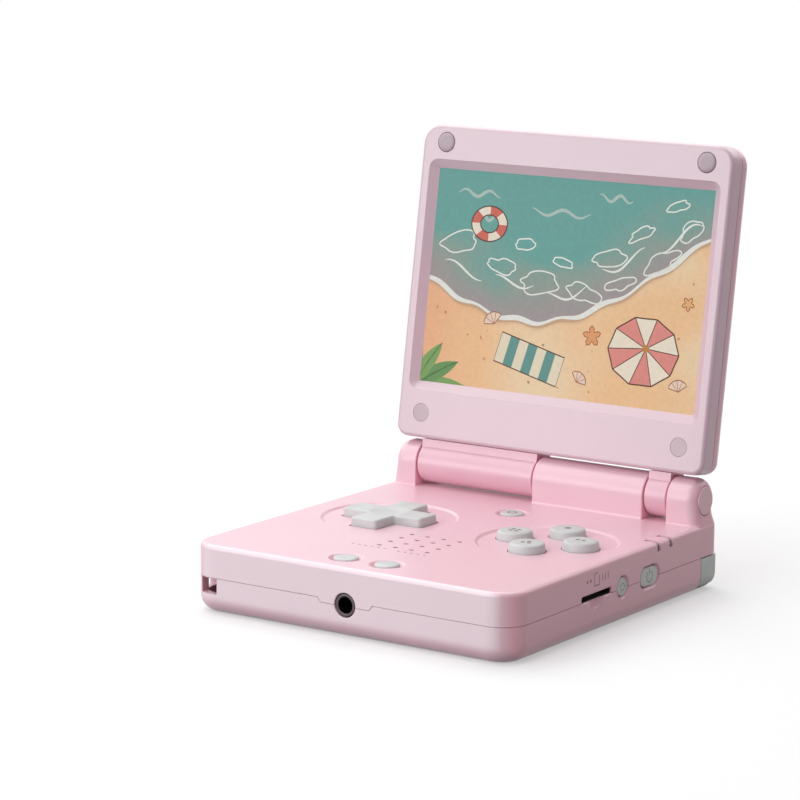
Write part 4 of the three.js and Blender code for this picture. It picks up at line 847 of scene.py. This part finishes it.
def build_pads():
    for name, x, y, proud in LID_PADS:
        profile = [(1.9, 0.01), (2.1, 0.03), (2.15, 0.1), (2.15, 1.0)]
        if proud:
            profile = [(0.9, -0.45), (1.4, -0.43), (1.85, -0.34), (2.12, -0.2), (2.26, -0.02), (2.3, 0.2),
                       (2.3, 1.0)]
        look, slot = (bumper_rubber, "bumper_rubber") if proud else (plug_mauve, "plug_mauve")
        new_name = name.replace("bumper", "bumper_pad").replace("plug", "screw_plug")
        piece(lathe(profile, "Z", (x, y, FACE_Z), 64), new_name, look, "lid", [name])


# ---- screen picture


class Picture:
    """Flat layers of coloured faces on the screen, in millimetres from its lower left corner."""

    def __init__(self):
        self.verts, self.faces, self.colours = [], [], []
        self.depth = 0

    def place(self, u, v):
        return (u - VIEW_HX, VIEW_Y - v + VIEW_HY, FACE_Z + RECESS - 0.004 - 0.006 * self.depth)

    def polygon(self, points, colour):
        start = len(self.verts)
        self.verts += [self.place(u, v) for u, v in points]
        self.faces.append(list(range(start, start + len(points))))
        self.colours.append(colour)

    def strip(self, points, width, colour, closed=False, taper=False):
        """Band of a width along points."""
        count = len(points)
        left, right = [], []
        for i, (u, v) in enumerate(points):
            before = points[i - 1] if i or closed else points[i]
            after = points[(i + 1) % count] if i + 1 < count or closed else points[i]
            du, dv = after[0] - before[0], after[1] - before[1]
            length = hypot(du, dv) or 1
            share = i / (count - 1)
            here = width(share) if callable(width) else width
            if taper:
                here *= sin(pi * (0.08 + 0.84 * share))
            nu, nv = -dv / length * here / 2, du / length * here / 2
            left.append((u + nu, v + nv))
            right.append((u - nu, v - nv))
        for i in range(count if closed else count - 1):
            j = (i + 1) % count
            self.polygon([left[i], right[i], right[j], left[j]], colour)

    def outlined(self, points, inside, line, width):
        self.depth = 5
        self.polygon(points, inside)
        self.depth = 6
        self.strip(points, width, line, closed=True)

    def build(self):
        obj = solid(self.verts, self.faces)
        layer = obj.data.color_attributes.new("picture", "FLOAT_COLOR", "CORNER")
        corners = [colour for face, colour in zip(self.faces, self.colours) for _ in face]
        for corner, colour in zip(layer.data, corners):
            corner.color = colour
        return obj


INK = tint(96, 58, 44)
WIDE, HIGH = 2 * VIEW_HX, 2 * VIEW_HY
random.seed(11)


def blend_colour(a, b, t):
    t = min(max(t, 0.0), 1.0)
    return tuple(p + (q - p) * t for p, q in zip(a, b))


def shore(u):
    """Height of the waterline at a place across the screen."""
    t = u / WIDE
    curve = 0.50 - 0.20 * sin(pi * (t * 1.12 + 0.02)) + 0.20 * t * t
    return HIGH * curve + 0.5 * sin(u * 0.55)


def sea_colour(u, v):
    teal, mist, mauve = tint(112, 175, 167), tint(150, 170, 160), tint(172, 162, 162)
    depth = (v - shore(u)) / HIGH
    cloud = smooth_noise(Vector((u * 0.06, v * 0.10, 1.7)))
    colour = blend_colour(mauve, mist, smoothstep(depth / 0.16 + cloud * 0.5))
    return blend_colour(colour, teal, smoothstep((depth - 0.10) / 0.22 + cloud * 0.9))


def sand_colour(u, v):
    warm, pale, peach = tint(255, 208, 158), tint(255, 226, 186), tint(252, 186, 142)
    cloud = smooth_noise(Vector((u * 0.045, v * 0.07, 9.2)))
    colour = blend_colour(warm, pale, smoothstep(0.45 + cloud * 0.9))
    colour = blend_colour(colour, peach, smoothstep(1.0 - u / 26 + cloud * 0.4) * 0.8)
    wet = (shore(u) - v) / 3.2
    return blend_colour(tint(206, 164, 130), colour, smoothstep(0.25 + wet))


def wobble(u, v, ru, rv, amount, count, turn, seed):
    """Uneven ring of points about (u, v)."""
    points = []
    for x, y in circle(1.0, count):
        r = 1 + amount * smooth_noise(Vector((x * 1.3, y * 1.3, seed * 3.1)))
        points.append((ru * r * x, rv * r * y))
    return spun(points, turn, u, v)


def draw_water(art):
    """The sea and the sand in small cells, then foam, swirls and a swim ring."""
    columns, rows = 150, 102
    for i in range(columns):
        for j in range(rows):
            u0, u1 = WIDE * i / columns, WIDE * (i + 1) / columns
            v0, v1 = HIGH * j / rows, HIGH * (j + 1) / rows
            u, v = (u0 + u1) / 2, (v0 + v1) / 2
            colour = sea_colour(u, v) if v > shore(u) else sand_colour(u, v)
            art.polygon([(u0, v0), (u1, v0), (u1, v1), (u0, v1)], colour)
    foam = tint(247, 248, 240)
    art.depth = 1
    line = [(u, shore(u)) for u in [WIDE * i / 120 for i in range(121)]]
    art.strip([(u, v - 0.55) for u, v in line], 1.1, tint(214, 176, 142))
    art.depth = 2
    art.strip(line, lambda t: 0.95 + 0.35 * sin(t * 23), foam)
    cells = [
        (8, 34, 5.2, 2.2, 0.2), (20, 29.5, 4.4, 1.7, -0.1), (31, 26.5, 5.6, 2.4, 0.05),
        (43, 25, 4.6, 2.0, -0.2), (53, 28, 3.6, 1.5, 0.3), (63, 34, 4.8, 2.0, 0.5), (70, 41.5, 3.4, 1.7, 0.7),
        (26, 35, 3.0, 1.2, 0.1), (49, 33.5, 4.4, 1.7, 0.2), (37, 31.5, 2.6, 1.0, -0.2),
        (57, 40, 3.6, 1.3, 0.5), (66, 47, 3.0, 1.1, 0.3)]
    for number, (u, v, ru, rv, turn) in enumerate(cells):
        art.strip(wobble(u, v, ru, rv, 0.5, 44, turn, number), 0.34, foam, closed=True)
    for number in range(5):
        start = 4 + number * 14.5
        points = [(start + t * 0.9, shore(start) + 6 + number % 2 * 2.4 + 1.3 * sin(t * 0.45 + number) +
                   (shore(start + t) - shore(start)) * 0.7) for t in range(13)]
        art.strip(points, 0.55, foam, taper=True)
    for start, height, span in ((6, 46, 12), (27, 43, 16), (45, 47.5, 9), (12, 40.5, 7)):
        points = [(start + span * t / 16, height + 0.8 * sin(t * 0.7 + start)) for t in range(17)]
        art.strip(points, 0.8, tint(186, 208, 198), taper=True)

    ring_u, ring_v, outer, inner = 15.5, 39.0, (5.0, 4.2), (2.5, 2.1)
    art.depth = 4
    for part in range(8):
        angles = [(part + step / 6) * pi / 4 for step in range(7)]
        art.polygon(oval(ring_u, ring_v, *outer, angles) + oval(ring_u, ring_v, *inner, angles[::-1]),
                    tint(222, 112, 96) if part % 2 else tint(252, 240, 220))
    art.depth = 5
    for radii in (outer, inner):
        art.strip(oval(ring_u, ring_v, *radii, [i / 24 * pi for i in range(48)]), 0.3, INK, closed=True)


def draw_towel_and_parasol(art):
    half, high, bands = 9.1, 3.6, 7
    across = [-half + band * 2 * half / bands for band in range(bands + 1)]

    def towel(x0, x1):
        return spun([(x0, -high), (x1, -high), (x1, high), (x0, high)], radians(-14), 30, 8.2)

    art.depth = 3
    for band, (x0, x1) in enumerate(zip(across, across[1:])):
        art.polygon(towel(x0, x1), tint(104, 158, 150) if band % 2 else tint(246, 232, 204))
    art.depth = 4
    art.strip(towel(-half, half), 0.3, INK, closed=True)
    centre_u, centre_v, radius, panels = 60.5, 13.0, 9.4, 10
    hub = (centre_u + 0.6, centre_v + 0.8)
    for part in range(panels):
        edge = []
        for step in range(9):
            a = (part + step / 8) * 2 * pi / panels
            r = radius * (1 - 0.05 * sin(pi * step / 8))
            edge.append((centre_u + r * cos(a), centre_v + r * 0.86 * sin(a)))
        art.depth = 6
        art.polygon([hub] + edge, tint(238, 150, 140) if part % 2 else tint(253, 240, 218))
        art.depth = 7
        art.strip([hub, edge[0]], 0.22, INK)
        art.strip(edge, 0.32, INK)
    art.depth = 8
    art.polygon(circle(0.9, 20, *hub), tint(206, 142, 74))


def draw_leaves(art):
    for number, angle in enumerate((12, 38, 66, 96)):
        art.depth = 4 + number
        sides = []
        for turn in (1, -1):
            side = [((14.5 - number * 0.8) * t, turn * 1.9 * sin(pi * t) ** 0.8 - 1.8 * t * t)
                    for t in (step / 12 for step in range(13))]
            sides.append(spun(side, radians(angle), -1.5, -1.5))
        left, right = sides
        outline = [(max(u, 0.02), max(v, 0.02)) for u, v in left + right[::-1]]
        art.polygon(outline, tint(112, 158, 96) if number % 2 else tint(134, 174, 104))
        art.strip([((p[0] + q[0]) / 2, (p[1] + q[1]) / 2) for p, q in zip(left[1:], right[1:])], 0.25,
                  tint(74, 112, 70))


def draw_beach_finds(art):
    """Starfish, shells and pebbles."""
    for u, v, size, turn, colour in ((46.5, 15.2, 2.5, 0.4, tint(240, 168, 112)),
                                     (71.0, 25.0, 1.7, 1.0, tint(246, 190, 128))):
        points = []
        for i in range(20):
            r = size * (1.0 if i % 4 == 0 else 0.78 if i % 2 else 0.44)
            points += oval(u, v, r, r, [turn + i * pi / 10])
        art.outlined(points, colour, tint(178, 104, 66), 0.26)
    for u, v, size, turn in ((19.5, 15.5, 1.7, 0.5), (43.5, 4.2, 1.5, -0.6), (70.6, 4.8, 1.6, 0.2)):
        angles = [turn + radians(25 + 130 * i / 12) for i in range(13)]
        points = [(u, v)] + oval(u, v, size * 1.7, size * 1.7, angles)
        art.outlined(points, tint(250, 222, 200), tint(176, 112, 84), 0.24)
        for i in (3, 6, 9):
            art.strip([points[0], points[1 + i]], 0.16, tint(196, 136, 104))
    art.depth = 2
    for number in range(26):
        u = random.uniform(3, WIDE - 3)
        v = random.uniform(2, max(shore(u) - 3.5, 3))
        ru, rv = random.uniform(0.2, 0.5), random.uniform(0.15, 0.35)
        art.polygon(wobble(u, v, ru, rv, 0.3, 14, number, number),
                    random.choice([tint(222, 160, 112), tint(198, 138, 104), tint(236, 196, 150)]))


def build_picture():
    art = Picture()
    for draw in (draw_water, draw_towel_and_parasol, draw_leaves, draw_beach_finds):
        draw(art)
    return art.build()


def screen_look():
    """Bright picture under a clear front: its colours come from the mesh."""
    n = Nodes("screen_picture_look")
    colour = n.add("ShaderNodeVertexColor", layer_name="picture").outputs["Color"]
    grain = n.ramp(n.noise(900.0), 0.96, 1.03)
    grain = n.add("ShaderNodeCombineColor", {"Red": grain, "Green": grain, "Blue": grain}).outputs["Color"]
    toned = n.mix(1.0, colour, grain, "MULTIPLY")
    n.set(Base_Color=n.times(toned, (0.40, 0.40, 0.40)), Emission_Color=toned, Emission_Strength=0.38,
          Roughness=0.3, Specular_IOR_Level=0.15)
    return n.material


def build_screen():
    window = slab(VIEW_HX - 0.05, VIEW_HY - 0.05, 0.3, FACE_Z + RECESS + 0.01, FACE_Z + 2.3, centre_y=VIEW_Y,
                  corner=6)
    piece(window, "screen_window", panel_dark, "lid", ["display_glass"])
    piece(build_picture(), "screen_picture", screen_look(), "lid", flat=True)


for build in (build_bezel, build_lid_back, build_pads, build_screen):
    build()

# ---- stage, light and camera


def seen_ray(tree):
    """1 for the rays that show the background: from the camera, or through or off something."""
    paths = tree.nodes.new("ShaderNodeLightPath").outputs
    total = paths["Is Camera Ray"]
    for name in ("Is Glossy Ray", "Is Transmission Ray"):
        either = tree.nodes.new("ShaderNodeMath")
        either.operation = "MAXIMUM"
        tree.links.new(total, either.inputs[0])
        tree.links.new(paths[name], either.inputs[1])
        total = either.outputs["Value"]
    return total


def build_stage():
    """Floor that looks white to the camera but returns little light to the object."""
    floor = solid([(-4, -4, 0), (4, -4, 0), (4, 4, 0), (-4, 4, 0)], [[0, 1, 2, 3]])
    floor.name = "floor"
    n = Nodes("floor_pale")
    n.set(Base_Color=(0.17, 0.165, 0.168, 1.0), Roughness=0.9, Specular_IOR_Level=0.1)
    pale = n.add("ShaderNodeBsdfDiffuse", {"Color": (0.99, 0.99, 0.99, 1.0)}).outputs["BSDF"]
    far = n.add("ShaderNodeVectorMath", {0: n.where}, operation="LENGTH").outputs["Value"]
    fade = n.ramp(far, 0.4, 1.0, 0.06, 0.3)
    white = n.add("ShaderNodeEmission", {"Color": (1, 1, 1, 1), "Strength": 1.0}).outputs["Emission"]
    mixed = n.add("ShaderNodeMixShader", {0: fade, 1: pale, 2: white}).outputs["Shader"]
    final = n.add("ShaderNodeMixShader", {0: seen_ray(n.tree), 1: n.bsdf.outputs["BSDF"], 2: mixed})
    fill(n.tree, n.tree.nodes["Material Output"].inputs["Surface"], final.outputs["Shader"])
    floor.data.materials.append(n.material)


def build_world():
    """Even fill light, with a pale background for the rays that show it."""
    world = bpy.data.worlds.new("studio")
    bpy.context.scene.world = world
    world.use_nodes = True
    tree = world.node_tree
    mix = tree.nodes.new("ShaderNodeMixShader")
    fill(tree, mix.inputs[0], seen_ray(tree))
    for index, background, grey, strength in ((1, tree.nodes["Background"], 1.0, 0.2),
                                              (2, tree.nodes.new("ShaderNodeBackground"), 0.8, 1.0)):
        background.inputs["Color"].default_value = (grey, grey, grey, 1)
        background.inputs["Strength"].default_value = strength
        fill(tree, mix.inputs[index], background.outputs["Background"])
    fill(tree, tree.nodes["World Output"].inputs["Surface"], mix.outputs["Shader"])


# Name, azimuth in degrees from the front towards -X, elevation, distance, size, power and colour
LAMPS = [
    ("front", 0, 25, 0.8, 0.42, 1.52), ("front_left", 34, 32, 0.8, 0.7, 1.33),
    ("low_card", 34, 6, 0.95, 0.5, 1.805, (0.92, 1.0, 0.98)), ("side", 110, 45, 0.6, 0.7, 1.425),
    ("top", 80, 72, 0.6, 0.7, 1.425), ("rear", 180, 50, 0.6, 0.7, 1.33),
    ("right_fill", -75, 18, 0.8, 0.7, 0.38),
]


def lamp(name, azimuth, elevation, distance, size, power, colour=(1, 1, 1)):
    """Disc lamp aimed at the console."""
    a, e = radians(azimuth), radians(elevation)
    place = Vector((-sin(a) * cos(e), -cos(a) * cos(e), sin(e))) * distance
    light = bpy.data.lights.new(name, "AREA")
    light.shape = "DISK"
    light.size, light.energy, light.color = size, power, colour
    obj = linked(name, light)
    obj.location = place
    obj.rotation_mode = "QUATERNION"
    obj.rotation_quaternion = (Vector((0, 0, 0.03)) - place).to_track_quat("-Z", "Y")


def build_camera():
    """Camera fitted to the photo: angles, the target's offset in its own axes, focal length in pixels."""
    azimuth, elevation, roll = (radians(d) for d in (34.3043868, 10.5915536, 0.440052))
    target, offset, focal = Vector((0, 0, 40)), Vector((13.4388547, -5.5634367, -721.047497)), 3215.50759
    turn = (Matrix.Rotation(azimuth, 4, "Z") @ Matrix.Rotation(pi / 2 - elevation, 4, "X")
            @ Matrix.Rotation(roll, 4, "Z"))
    data = bpy.data.cameras.new("camera")
    data.sensor_width, data.lens = 36.0, 36.0 * focal / 800
    data.clip_start, data.clip_end = 0.01, 50
    camera = linked("camera", data)
    camera.matrix_world = Matrix.Translation((target - turn @ offset) * MM) @ turn
    bpy.context.scene.camera = camera


build_stage()
build_world()
build_camera()
for row in LAMPS:
    lamp(*row)
bpy.context.scene.view_settings.view_transform = "Standard"
